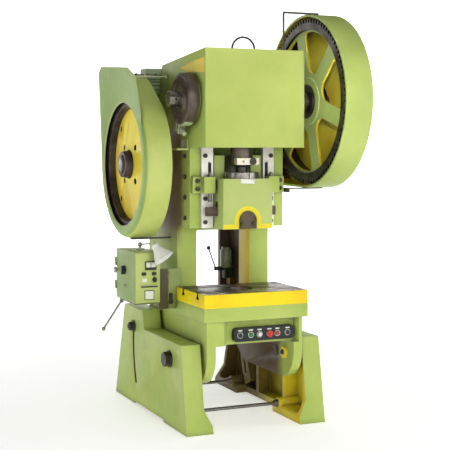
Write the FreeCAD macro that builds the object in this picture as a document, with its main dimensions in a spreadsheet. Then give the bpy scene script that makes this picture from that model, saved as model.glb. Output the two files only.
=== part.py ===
import FreeCAD, Part
import math
import operator
import os
from types import SimpleNamespace

import Sketcher
from FreeCAD import Placement, Rotation, Vector

# A geared, inclinable, open-back C-frame stamping press.
# Frame: X to the right seen from the front, Y to the back, Z up. The origin is on the
# floor, at the centre of the four foundation bolts. All lengths are millimetres.

SIZES = {
    # main lines: the crank across the head, the drive shaft behind and below it
    "crank_line": -475,
    "crank_level": 2135,
    "drive_line": 5,
    "gear_module": 12,
    "gear_teeth": 91,
    "pinion_teeth": 16,
    "tooth_backlash": 0.8,
    "slide_stroke": 120,
    # running and seating clearances
    "seat_gap": 0.3,
    "shaft_gap": 0.06,
    "bolt_gap": 0.5,
    # legs
    "leg_spread": 153,
    "leg_outer": "=frame_half + leg_spread",
    "post_width": 130,
    "foot_width": 185,
    "foot_flare": 150,
    "foot_edge": 45,
    "front_foot": -731,
    "front_shoulder": -632,
    "ledge_level": 560,
    "step_foot": 93,
    "step_head": 117,
    "leg_level": 687,
    "rear_shoulder": 509,
    "rear_foot": 723,
    "foot_length": 420,
    "foot_relief": 15,
    "leg_web": 30,
    "leg_wall": 38,
    "leg_rib": 34,
    "leg_floor": 58,
    "leg_corner": 28,
    "first_rib": -372,
    "second_rib": 56,
    "slot_band_half": 52,
    "foundation_edge": 81,
    "foundation_across": "=leg_outer - foundation_edge",
    "foundation_along": 600,
    "foundation_hole": 14,
    # leaning joint
    "pivot_line": -424,
    "pivot_level": 443,
    "pivot_pin": 35,
    "pivot_boss": 88,
    "lock_reach": 735,
    "lock_angle": 8.5,
    "lock_pin": 17,
    "lean_angle": 30,
    # tie rods
    "tie_pin": 12,
    "tie_level": 75,
    "front_tie": -400,
    "rear_tie": 398,
    "tie_boss": 36,
    "tie_stand": 8,
    "tie_thread": 55,
    # frame casting
    "frame_half": 340,
    "frame_plate": 62,
    "pillar_inner": 200,
    "throat_line": -167,
    "pillar_depth": 185,
    "frame_rear": 400,
    "rear_flange": 40,
    "crown_web": 60,
    "bed_lip": 28,
    "bed_half": "=frame_half + bed_lip",
    "bed_front": -719,
    "bed_depth": 495,
    "bed_flange": 86,
    "bed_under": "=bed_level - bed_flange",
    "bed_level": 797,
    "bolster_thickness": 90,
    "body_front": -692,
    "body_floor": 285,
    "body_corner": 195,
    "body_rear_floor": 480,
    "apron_line": -640,
    "apron_height": 163,
    "apron_floor": "=bed_under - apron_height",
    "apron_plate": 40,
    "guide_front": -399,
    "guide_floor": 1290,
    "cheek_proud": 10,
    "head_half": "=frame_half + cheek_proud",
    "head_front": -697,
    "head_floor": 1822,
    "head_top": 2456,
    "head_top_rear": 2396,
    "head_rear": 96,
    "hood_rear": 147,
    "hood_level": 2318,
    "shelf_level": 1990,
    "cover_sheet": 6,
    "die_hole": 110,
    "frame_front": "=head_front + cover_sheet",
    "tie_nut": 29,
    "tie_nut_length": 34,
    "pivot_washer": 9,
    "pivot_head": 44,
    "lock_head": 14,
    "lock_washer": 8,
    "lock_nut": 28,
    "lock_end": 16,
    "slot_mouth": 24,
    "slot_foot": 42,
    "slot_foot_height": 17,
    "slot_depth": 42,
    "slot_spacing": 253,
    "bolster_screw_edge": 43,
    "bolster_screw_x": "=bed_half - bolster_screw_edge",
    "bolster_screw_y": 195,
    "screw_head": 18,
    "screw_sink": 30,
    "cover_rim": 24,
    "gib_proud": 20,
    "rail_slot_edge": 28,
    "rail_slot_x": "=slide_half + rail_slot_edge",
    "rail_slot_z": 1638,
    "gib_bolt": 9,
    "gib_bolt_edge": 24,
    "gib_bolt_x": "=gib_outer - gib_bolt_edge",
    "gib_bolt_low": 1330,
    "gib_bolt_mid": 1485,
    "gib_bolt_high": 1768,
    "side_bolt_line": -325,
    "side_bolt_level": 1354,
    "side_bolt_pitch": 137,
    "side_bolt_head": 14,
    "bar_offset": 13,
    "bar_line": "=crank_line + bar_offset",
    "stop_reach": 26,
    "stop_inset": 8,
    "stop_outer": "=frame_half - stop_inset",
    "stop_space": 18,
    "stop_inner": "=slide_half + stop_space",
    "stop_floor": 1522,
    "stop_height": 108,
    "stop_screw_edge": 28,
    "stop_x": "=stop_inner + stop_screw_edge",
    "stop_screw": 11,
    "stop_drop": 42,
    "stop_bolt_edge": 32,
    "stop_bolt_x": "=stop_outer - stop_bolt_edge",
    "bush_wall": 12,
    "housing_flange": 12,
    "housing_lip": 24,
    "drive_journal": 58,
    "web_main": 95,
    "web_pin": 88,
    "retainer_room": 48,
    "gear_end_nut": "=gear_start + gear_width + retainer_room",
    "shaft_end": 48,
    "gear_seat": 65,
    "drum_seat": 60,
    "stub_radius": 50,
    "stub_length": 82,
    "stub_end": "=drum_start + drum_width + stub_length",
    "bar_hole": 8,
    "band_thickness": 7,
    "lug_angle": -65,
    "lug_gap": 30,
    "lug_sheet": 12,
    "lug_height": 62,
    "band_bolt": 8,
    "anchor_drop": -330,
    "anchor_height": 70,
    "anchor_line": 122,
    "anchor_width": 104,
    "eye_lift": 0.22,
    "eye_gap": 2,
    "eye_side_gap": 2,
    "eye_wall": 34,
    "eye_corner": 40,
    "rod_radius": 74,
    "rod_bore_depth": 290,
    "clamp_front": 96,
    "clamp_left": 76,
    "clamp_right": 84,
    "clamp_height": 44,
    "clamp_screw": 30,
    "screw_length": 215,
    "seat_hole": 14,
    "seat_floor": 12,
    "seat_radius": 78,
    "ring_radius": 115,
    "ring_height": 42,
    "ring_notches": 8,
    "bar_depth": 38,
    "bar_floor": 1372,
    "bar_height": 60,
    "bar_travel": 33,
    "bar_overhang": 26,
    "bar_reach": "=stop_x + bar_overhang",
    "ejector_hole": 9,
    "shank_radius": 25,
    "shank_depth": 70,
    "arch_half": 62,
    "arch_rise": 56,
    "split_gap": 0.5,
    "clamp_proud": 6,
    "stud_x": 42,
    "stud_rise": 34,
    "stud_radius": 8,
    "throat_corner": 54,
    "arch_corner": 45,
    "casting_wall": 40,
    "recess_left_edge": 118,
    "recess_left": "=recess_left_edge - frame_half",
    "recess_right_edge": 22,
    "recess_right": "=frame_half - recess_right_edge",
    "vee_gap": 0.5,
    "gib_inset": 76,
    "gib_outer": "=frame_half - gib_inset",
    "leg_gap": 2,
    "drive_boss": 105,
    "drive_bearing": 70,
    "housing_bore": 128,
    # slide
    "gib_width": 88,
    "slide_half": "=gib_outer - gib_width",
    "slide_front": -577,
    "slide_drop": 1,
    "slide_floor": "=guide_floor - slide_drop",
    "slide_height": 329,
    "slide_spine": -408,
    "slide_back": -280,
    "spine_top": 1770,
    "guide_vee": 44,
    "guide_vee_line": -344,
    "ball_radius": 62,
    "ball_level": 1556,
    "screw_neck": 42,
    "screw_thread": 50,
    "rod_floor": 1709,
    # crankshaft and what runs on it
    "journal": 75,
    "pin_radius": 60,
    "pin_width": 136,
    "web_thickness": 52,
    "drum_radius": 165,
    "drum_width": 75,
    "drum_stand": 16,
    "drum_start": "=head_half + drum_stand",
    "gear_stand": 124,
    "gear_start": "=head_half + gear_stand",
    "gear_width": 112,
    "gear_web": 36,
    "gear_spokes": 5,
    # guards and drive
    "gear_guard_radius": 585,
    "guard_space": 10,
    "gear_guard_start": "=gear_start - guard_space",
    "guard_room": 71,
    "gear_guard_end": "=gear_start + gear_width + guard_room",
    "guard_sheet": 4,
    "flywheel_radius": 440,
    "wheel_stand": 174,
    "flywheel_start": "=head_half + wheel_stand",
    "flywheel_width": 120,
    "wheel_guard_radius": 500,
    "belt_guard_space": 26,
    "wheel_guard_start": "=flywheel_start - belt_guard_space",
    "wheel_guard_depth": 178,
    "wheel_guard_end": "=wheel_guard_start + wheel_guard_depth",
    "wheel_opening": 430,
    "motor_inset": 57,
    "motor_line": "=frame_rear - motor_inset",
    "motor_rise": 215,
    "motor_level": "=shelf_level + motor_rise",
    "pulley_radius": 85,
    "hub_stand": 8,
    "gear_hub": 115,
    "gear_rim": 505,
    "window_inner": 190,
    "window_outer": 460,
    "window_half": 21,
    "window_angle": 94,
    "shaft_tail": 33,
    "shaft_left_end": "=hub_outer + shaft_tail",
    "pinion_tail": 34,
    "shaft_right_end": "=gear_start + gear_width + pinion_tail",
    "wheel_seat": 50,
    "journal_inset": 88,
    "drive_journal_start": "=frame_half - journal_inset",
    "shaft_middle": 55,
    "hub_inset": 14,
    "hub_inner": "=flywheel_start + hub_inset",
    "hub_length": 117,
    "hub_outer": "=hub_inner + hub_length",
    "shaft_thread": 40,
    "belt_pitch": 26,
    "belt_top": 17,
    "belt_bottom": 10,
    "belt_depth": 11,
    "belt_sink": 0.6,
    "wheel_web": 24,
    "wheel_rim": 382,
    "wheel_hub": 90,
    "hole_ring": 160,
    "outer_hole_ring": 344,
    "wheel_hole": 20,
    "nut_length": 28,
    "motor_gap": 29,
    "motor_end": "=flywheel_start - motor_gap",
    "motor_length": 410,
    "motor_start": "=motor_end - motor_length",
    "motor_radius": 130,
    "motor_fins": 24,
    "motor_foot": 145,
    "motor_foot_half": 120,
    "pinion_guard_radius": 150,
    "guard_lip": 16,
    "belt_guard_rear": 620,
    "belt_guard_shoulder": 621,
    "guard_rod": 7,
    "guard_rod_inset": 43,
    "guard_rod_x": "=frame_half - guard_rod_inset",
    "guard_rod_sink": 14,
    "guard_rod_foot": "=head_top - guard_rod_sink",
    "box_width": 174,
    "box_outer": "=box_inner + box_width",
    "box_stand": 5,
    "box_inner": "=leg_outer + box_stand",
    "box_front": -257,
    "box_depth": 400,
    "box_rear": "=box_front + box_depth",
    "box_floor": 790,
    "box_height": 338,
    "box_top": "=box_floor + box_height",
    "box_corner": 14,
    "box_sheet": 3,
    "door_sheet": 3,
    "bracket_line": "=bed_front + bed_depth + split_gap",
    "bracket_rise": 220,
    "bracket_top": "=box_floor + bracket_rise",
    "bracket_drop": 50,
    "bracket_foot": "=box_floor - bracket_drop",
    "lever_inset": 24,
    "lever_x": "=box_outer - lever_inset",
    "lever_drop": 26,
    "lever_level": "=box_floor - lever_drop",
    "lever_pin": 6,
    "lever_out": 129,
    "lever_down": 186,
    "panel_depth": 34,
    "panel_margin": 105,
    "panel_length": "=recess_right - recess_left - panel_margin",
    "panel_left": "=panel_right - panel_length",
    "panel_corner": 26,
    "panel_edge": 6,
    "recess_slant": 45,
    "recess_slant_right": 20,
    "panel_space": 26,
    "panel_right": "=recess_right - panel_space",
    "panel_height": 90,
    "panel_floor": "=panel_top - panel_height",
    "panel_drop": 56,
    "panel_top": "=bed_under - panel_drop",
    "button_rise": 43,
    "button_level": "=panel_floor + button_rise",
    "collar_wall": 4,
    "collar_height": 7,
    "button_stem": 5,
    "button_depth": 16,
    "light_inset": 64,
    "light_x": "=0 - box_inner - light_inset",
    "light_setback": 220,
    "light_y": "=box_front + light_setback",
    "light_rise": 35,
    "light_elbow": "=box_top + light_rise",
    "shade_neck": 128,
    "shade_pin": 3,
    "arm_aside": 56,
    "shade_x": "=light_x + arm_aside",
    "arm_forward": 322,
    "shade_y": "=light_y - arm_forward",
    "arm_drop": 70,
    "shade_z": "=light_elbow - arm_drop",
    "shade_radius": 72,
    "pump_inset": 97,
    "pump_line": "=frame_rear - pump_inset",
    "pump_stand": 5,
    "pump_floor": "=bed_level + pump_stand",
    "pump_lever_inset": 194,
    "pump_lever_x": "=frame_half - pump_lever_inset",
    "pump_lever_rise": 133,
    "pump_lever_level": "=pump_floor + pump_lever_rise",
    "conduit_line": -600,
    "conduit_x": -45,
    "conduit_rise": 2,
    "conduit_level": "=head_top + conduit_rise",
    "conduit_bend": 80,
    "conduit_radius": 7,
    "hinge_out": 6,
    "hinge_back": 3,
    "hinge_barrel": 5,
    "hinge_pin": 2.5,
    "hinge_length": 28,
    "hinge_leaf": 26,
    "hinge_low": 60,
    "hinge_high": 220,
    "lever_setback": 43,
    "bracket_sheet": 10,
    "meter_left": 70,
    "meter_width": 77,
    "meter_drop": 117,
    "meter_height": 56,
    "meter_frame": 7,
    "meter_proud": 7,
    "small_width": 16,
    "small_height": 22,
    "small_proud": 9,
    "small_level": 185,
    "small_left": 53,
    "small_right": 125,
    "plate_left": 66,
    "plate_width": 67,
    "plate_level": 23,
    "plate_height": 63,
    "switch_line": 213,
    "switch_level": 205,
    "switch_radius": 24,
    "selector_line": 136,
    "selector_level": 156,
    "selector_radius": 15,
    "bar_width": 50,
    "bar_inset": 57,
    "over_inset": 36,
    "over_rise": 44,
    "pump_half": 35,
    "pump_base": 40,
    "pump_base_height": 70,
    "pump_block": 74,
    "pump_block_half": 28,
    "pump_block_height": 150,
    "tank_line": 54,
    "tank_radius": 44,
    "tank_height": 130,
    "cap_radius": 34,
    "cap_height": 22,
    "pump_pin": 5,
    "pump_lever_out": 55,
    "pump_lever_up": 152,
    "lever_bar": 6.5,
    "lever_ball": 14,
    "shade_length": 112,
}

doc = FreeCAD.newDocument("stamping_press")
sheet = doc.addObject("Spreadsheet::Sheet", "sizes")


class Size:
    """A number from the sheet, or worked out from it, with the expression that gives it."""

    def __init__(self, value, text):
        self.value = float(value)
        self.text = text

    def __float__(self):
        return self.value

    def __neg__(self):
        return Size(-self.value, f"(0 - {self.text})")

    def __add__(self, other):
        return combine(self, "+", other)

    def __radd__(self, other):
        return combine(other, "+", self)

    def __sub__(self, other):
        return combine(self, "-", other)

    def __rsub__(self, other):
        return combine(other, "-", self)

    def __mul__(self, other):
        return combine(self, "*", other)

    def __rmul__(self, other):
        return combine(other, "*", self)

    def __truediv__(self, other):
        return combine(self, "/", other)

    def __rtruediv__(self, other):
        return combine(other, "/", self)

    def __pow__(self, other):
        return combine(self, "^", other)


OPERATIONS = {
    "+": operator.add,
    "-": operator.sub,
    "*": operator.mul,
    "/": operator.truediv,
    "^": operator.pow,
}


def sized(number):
    if isinstance(number, Size):
        return number
    text = repr(float(number))
    return Size(number, f"({text})" if number < 0 else text)


def combine(left, sign, right):
    left = sized(left)
    right = sized(right)
    value = OPERATIONS[sign](left.value, right.value)
    return Size(value, f"({left.text} {sign} {right.text})")


def root(number):
    return Size(math.sqrt(number.value), f"sqrt({number.text})")


def sine(degrees):
    degrees = sized(degrees)
    return Size(math.sin(math.radians(degrees.value)), f"sin({degrees.text})")


def cosine(degrees):
    degrees = sized(degrees)
    return Size(math.cos(math.radians(degrees.value)), f"cos({degrees.text})")


def write_sheet():
    """Every size gets a row: its name in words, and its value or its formula under an
    alias, so that a size which depends on another follows it."""
    for row, (alias, value) in enumerate(SIZES.items(), start=1):
        sheet.set(f"A{row}", alias.replace("_", " "))
        sheet.setAlias(f"B{row}", alias)
    for row, value in enumerate(SIZES.values(), start=1):
        sheet.set(f"B{row}", str(value))
    doc.recompute()
    return SimpleNamespace(**{alias: Size(sheet.get(alias), f"sizes.{alias}")
                              for alias in SIZES})


d = write_sheet()

# Lines worked out from the driving sizes.
gear_distance = d.gear_module * (d.gear_teeth + d.pinion_teeth) / 2
drive_level = d.crank_level - root(gear_distance ** 2 - (d.drive_line - d.crank_line) ** 2)
post_inner = d.leg_outer - d.post_width
foot_inner = d.leg_outer - d.foot_width
frame_inner = d.frame_half - d.frame_plate
bolster_level = d.bed_level + d.bolster_thickness
bed_rear = d.bed_front + d.bed_depth
crank_throw = d.slide_stroke / 2
slide_top = d.slide_floor + d.slide_height
lock_line = d.pivot_line + d.lock_reach * cosine(d.lock_angle)
lock_level = d.pivot_level + d.lock_reach * sine(d.lock_angle)
pillar_rear = d.throat_line + d.pillar_depth
cross_front = d.throat_line - d.crown_web
crown_floor = d.guide_floor


# ---------------------------------------------------------------------------------------
# Drawing and building helpers


def bind(thing, name, number):
    """Tie a property to the sheet, or set it where it is a plain number."""
    thing.setExpression(name, sized(number).text)


def arc_between(start, end, radius):
    """The short arc from start to end, anticlockwise for a positive radius."""
    if radius < 0:
        return arc_between(end, start, -radius)
    chord = end - start
    rise = math.sqrt(max(radius ** 2 - (chord.Length / 2) ** 2, 0))
    left = Vector(-chord.y, chord.x, 0).normalize()
    centre = (start + end) * 0.5 + left * rise
    first = math.atan2(start.y - centre.y, start.x - centre.x)
    last = math.atan2(end.y - centre.y, end.x - centre.x)
    return Part.ArcOfCircle(Part.Circle(centre, Vector(0, 0, 1), radius), first, last)


def fix(sketch, constraint, number):
    """Add a constraint whose value follows the sheet."""
    index = sketch.addConstraint(constraint)
    if isinstance(number, Size):
        sketch.setExpression(f"Constraints[{index}]", number.text)


def fix_point(sketch, edge, end, across, up):
    fix(sketch, Sketcher.Constraint("DistanceX", -1, 1, edge, end, float(across)), across)
    fix(sketch, Sketcher.Constraint("DistanceY", -1, 1, edge, end, float(up)), up)


def draw_circle(sketch, across, up, radius):
    centre = Vector(float(across), float(up), 0)
    edge = sketch.addGeometry(Part.Circle(centre, Vector(0, 0, 1), float(radius)))
    fix_point(sketch, edge, 3, across, up)
    fix(sketch, Sketcher.Constraint("Radius", edge, float(radius)), radius)


def draw(sketch, outline):
    """A closed outline of corners (across, up). A corner (across, up, radius) is reached
    by an arc, anticlockwise for a positive radius. ("circle", across, up, radius) is a
    whole circle."""
    if outline[0] == "circle":
        draw_circle(sketch, *outline[1:])
        return
    first = sketch.GeometryCount
    count = len(outline)
    starts = []
    for index, corner in enumerate(outline):
        target = outline[(index + 1) % count]
        start = Vector(float(corner[0]), float(corner[1]), 0)
        end = Vector(float(target[0]), float(target[1]), 0)
        if len(target) == 2:
            sketch.addGeometry(Part.LineSegment(start, end))
            starts.append(1)
        else:
            sketch.addGeometry(arc_between(start, end, float(target[2])))
            starts.append(1 if float(target[2]) > 0 else 2)
    for index, corner in enumerate(outline):
        edge = first + index
        before = first + (index - 1) % count
        before_end = 3 - starts[(index - 1) % count]
        joint = Sketcher.Constraint("Coincident", before, before_end, edge, starts[index])
        sketch.addConstraint(joint)
        fix_point(sketch, edge, starts[index], corner[0], corner[1])
        target = outline[(index + 1) % count]
        if len(target) == 3:
            radius = sized(target[2])
            radius = radius if float(radius) > 0 else -radius
            fix(sketch, Sketcher.Constraint("Radius", edge, float(radius)), radius)


def mirrored(outline):
    """The outline with its first coordinate turned round."""
    if outline[0] == "circle":
        return ("circle", -outline[1], outline[2], outline[3])
    return [(-corner[0], corner[1]) + tuple(-radius for radius in corner[2:])
            for corner in outline]


def sided(side, outline):
    return outline if side > 0 else mirrored(outline)


def span(side, near, far):
    """Low and high X of a stretch between two distances from the middle plane."""
    return (sized(near), sized(far)) if side > 0 else (-sized(far), -sized(near))


def rectangle(low_across, high_across, low_up, high_up):
    return [(low_across, low_up), (high_across, low_up),
            (high_across, high_up), (low_across, high_up)]


def rounded_box(low_across, high_across, low_up, high_up, radius):
    """A rectangle with four round corners."""
    return [(low_across + radius, low_up, radius), (high_across - radius, low_up),
            (high_across, low_up + radius, radius), (high_across, high_up - radius),
            (high_across - radius, high_up, radius), (low_across + radius, high_up),
            (low_across, high_up - radius, radius), (low_across, low_up + radius)]


nodes = []


def name_node(thing, name):
    thing.Label = name
    nodes.append(thing)
    return thing


class Piece:
    """One sub-part as a body of padded, cut and turned sketches."""

    def __init__(self, name, at=(0, 0, 0), kept=True):
        self.name = name
        self.body = doc.addObject("PartDesign::Body", name)
        if kept:
            name_node(self.body, name)
        for axis, number in zip("xyz", at):
            bind(self.body, f"Placement.Base.{axis}", number)
        self.steps = 0

    def sketch(self, plane, outlines, level):
        """A sketch on the body's plane (XY, XZ or YZ), moved along the third axis."""
        self.steps += 1
        sketch = self.body.newObject("Sketcher::SketchObject",
                                     f"{self.name}_sketch{self.steps}")
        planes = {feature.Role: feature for feature in self.body.Origin.OriginFeatures}
        sketch.AttachmentSupport = (planes[f"{plane}_Plane"], [""])
        sketch.MapMode = "FlatFace"
        offset = -sized(level) if plane == "XZ" else sized(level)
        bind(sketch, "AttachmentOffset.Base.z", offset)
        for outline in outlines:
            draw(sketch, outline)
        return sketch

    def feature(self, kind, sketch):
        feature = self.body.newObject(f"PartDesign::{kind}", f"{self.name}_{kind.lower()}")
        feature.Profile = sketch
        return feature

    def pad(self, plane, outlines, low, high):
        """Material from low to high along the axis square to the plane."""
        sketch = self.sketch(plane, outlines, low)
        feature = self.feature("Pad", sketch)
        feature.Reversed = plane == "XZ"
        bind(feature, "Length", sized(high) - low)
        return feature

    def pocket(self, plane, outlines, low, high):
        """A cut from low to high along the axis square to the plane."""
        before = self.volume()
        sketch = self.sketch(plane, outlines, low)
        feature = self.feature("Pocket", sketch)
        feature.Reversed = plane != "XZ"
        bind(feature, "Length", sized(high) - low)
        self.check_less(before, feature)
        return feature

    def turn(self, outlines, axis="X"):
        """Material turned about the body's own X, Y or Z axis: (along, radius) corners,
        or (radius, along) about Z."""
        plane = "YZ" if axis == "Y" else "XZ"
        sketch = self.sketch(plane, outlines, 0)
        feature = self.feature("Revolution", sketch)
        feature.ReferenceAxis = (sketch, ["V_Axis" if axis == "Z" else "H_Axis"])
        feature.Angle = 360
        return feature

    def groove(self, outlines, axis="X"):
        """A turned cut about the body's own axis."""
        before = self.volume()
        plane = "YZ" if axis == "Y" else "XZ"
        sketch = self.sketch(plane, outlines, 0)
        feature = self.feature("Groove", sketch)
        feature.ReferenceAxis = (sketch, ["V_Axis" if axis == "Z" else "H_Axis"])
        feature.Angle = 360
        self.check_less(before, feature)
        return feature

    def repeat(self, feature, count):
        """Copies of a feature spread evenly round the axis square to its sketch."""
        sketch = feature.Profile[0]
        pattern = self.body.newObject("PartDesign::PolarPattern", f"{self.name}_pattern")
        pattern.Originals = [feature]
        pattern.Axis = (sketch, ["N_Axis"])
        pattern.Angle = 360
        bind(pattern, "Occurrences", count)
        self.body.Tip = pattern
        return pattern

    def round(self, radius, chosen, kind="Fillet"):
        """Round or chamfer the edges that the test picks."""
        doc.recompute()
        base = self.body.Tip
        names = [f"Edge{number}" for number, edge in enumerate(base.Shape.Edges, start=1)
                 if chosen(edge)]
        if not names:
            raise ValueError(f"{self.name}: no edge to round")
        feature = self.body.newObject(f"PartDesign::{kind}", f"{self.name}_{kind.lower()}")
        feature.Base = (base, names)
        bind(feature, "Radius" if kind == "Fillet" else "Size", radius)
        return feature

    def shell(self, thickness, chosen):
        """Hollow the body out, open at the faces that the test picks."""
        doc.recompute()
        base = self.body.Tip
        names = [f"Face{number}" for number, face in enumerate(base.Shape.Faces, start=1)
                 if chosen(face)]
        if not names:
            raise ValueError(f"{self.name}: no face to open")
        feature = self.body.newObject("PartDesign::Thickness", f"{self.name}_shell")
        feature.Base = (base, names)
        feature.Reversed = True
        feature.Join = 1
        bind(feature, "Value", thickness)
        return feature

    def volume(self):
        doc.recompute()
        return self.body.Shape.Volume

    def check_less(self, before, feature):
        doc.recompute()
        if not self.body.Shape.Volume < before - 1:
            raise ValueError(f"{feature.Name} of {self.name} cuts nothing")


def along(edge, axis):
    """True for a straight edge that runs along the axis: 0, 1 or 2 for X, Y or Z."""
    if edge.Curve.TypeId != "Part::GeomLine":
        return False
    direction = edge.tangentAt(edge.FirstParameter)
    return abs(abs(direction[axis]) - 1) < 1e-6


def middle(edge):
    return edge.BoundBox.Center


TURNS = {
    "X": Rotation(Vector(0, 1, 0), 90),
    "Y": Rotation(Vector(1, 0, 0), -90),
    "Z": Rotation(),
}


def primitive(kind, at, axis, **properties):
    """A Part primitive whose own Z axis is laid along X, Y or Z."""
    thing = doc.addObject(f"Part::{kind}", kind.lower())
    turn = TURNS[axis] if isinstance(axis, str) else axis
    thing.Placement = Placement(Vector(), turn)
    for letter, number in zip("xyz", at):
        bind(thing, f"Placement.Base.{letter}", number)
    for name, number in properties.items():
        bind(thing, name, number)
    return thing


def block(low_x, high_x, low_y, high_y, low_z, high_z):
    return primitive("Box", (low_x, low_y, low_z), "Z", Length=sized(high_x) - low_x,
                     Width=sized(high_y) - low_y, Height=sized(high_z) - low_z)


def rod(axis, at, radius, length):
    return primitive("Cylinder", at, axis, Radius=radius, Height=length)


def hexagon(axis, at, radius, length):
    return primitive("Prism", at, axis, Circumradius=radius, Height=length)


def cone(axis, at, first, last, length):
    return primitive("Cone", at, axis, Radius1=first, Radius2=last, Height=length)


def ball(at, radius):
    return primitive("Sphere", at, "Z", Radius=radius)


def strut(start, end, radius):
    """A round bar from one point to another."""
    reach = [sized(last) - first for first, last in zip(start, end)]
    length = root(reach[0] ** 2 + reach[1] ** 2 + reach[2] ** 2)
    turn = Rotation(Vector(0, 0, 1), Vector(*[float(number) for number in reach]))
    return primitive("Cylinder", start, turn, Radius=radius, Height=length)


def knobbed_bar(start, end, radius, knob):
    """A round bar from one point to another, with a ball on its end, turned in one."""
    reach = [float(sized(last) - first) for first, last in zip(start, end)]
    length = root(sum([(sized(last) - first) ** 2 for first, last in zip(start, end)],
                      sized(0)))
    piece = Piece("knobbed_bar", start, kept=False)
    piece.body.Placement.Rotation = Rotation(Vector(0, 0, 1), Vector(*reach))
    neck = length - root(sized(knob) ** 2 - sized(radius) ** 2)
    piece.turn([[(sized(0), sized(0)), (radius, sized(0)), (radius, neck),
                 (sized(0), length + knob, knob)]], "Z")
    return piece.body


def fuse(*parts):
    thing = doc.addObject("Part::MultiFuse", "fuse")
    thing.Shapes = list(parts)
    return thing


def cut(base, *tools):
    thing = doc.addObject("Part::Cut", "cut")
    thing.Base = base
    thing.Tool = tools[0] if len(tools) == 1 else group(tools)
    return thing


def group(parts):
    """Separate solids kept together as one object."""
    thing = doc.addObject("Part::Compound", "group")
    thing.Links = list(parts)
    return thing


def bolt(axis, at, radius, length, head, towards=1):
    """A hexagon-headed bolt: its head stands on the seat at the point given, and its
    shank goes from there the other way. towards is +1 or -1 along the axis."""
    head_height = sized(radius) * 1.3
    shift = {"X": 0, "Y": 1, "Z": 2}[axis]
    head_at = list(at)
    shank_at = list(at)
    if towards > 0:
        shank_at[shift] = sized(at[shift]) - length
    else:
        head_at[shift] = sized(at[shift]) - head_height
    return fuse(hexagon(axis, head_at, head, head_height),
                rod(axis, shank_at, radius, length))


# ---------------------------------------------------------------------------------------
# Base: two cast legs, joined by tie rods. The frame leans on two pivot bolts.


def slot_point(angle, reach):
    """Y and Z of a point on an arc about the pivot, at an angle above the level."""
    return (d.pivot_line + reach * cosine(angle), d.pivot_level + reach * sine(angle))


def slot_tip(angle, way):
    """The far point of the slot's round end, beyond the given angle."""
    half = d.lock_pin + d.bolt_gap
    across, up = slot_point(angle, d.lock_reach)
    return (across - way * half * sine(angle), up + way * half * cosine(angle))


def lock_slot():
    """The arc slot that the lock bolt travels along when the frame leans."""
    half = d.lock_pin + d.bolt_gap
    top = d.lock_angle + 0.5
    bottom = d.lock_angle - d.lean_angle - 0.5
    near = d.lock_reach - half
    far = d.lock_reach + half
    return [slot_point(bottom, near) + (-half,), slot_point(top, near) + (near,),
            slot_tip(top, 1) + (-half,), slot_point(top, far) + (-half,),
            slot_point(bottom, far) + (-far,), slot_tip(bottom, -1) + (-half,)]


def slot_band():
    """The thick strip of the leg that the lock bolt clamps on."""
    top = d.lock_angle + 5
    bottom = d.lock_angle - d.lean_angle - 7
    near = d.lock_reach - d.slot_band_half
    far = d.lock_reach + d.slot_band_half
    return [slot_point(bottom, near), slot_point(top, near) + (near,),
            slot_point(top, far), slot_point(bottom, far) + (-far,)]


def front_line(level):
    """Y of the leg's sloping front face at a level."""
    return d.front_foot + (d.front_shoulder - d.front_foot) * level / d.ledge_level


def rear_line(level):
    return d.rear_foot + (d.rear_shoulder - d.rear_foot) * level / d.leg_level


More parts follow.
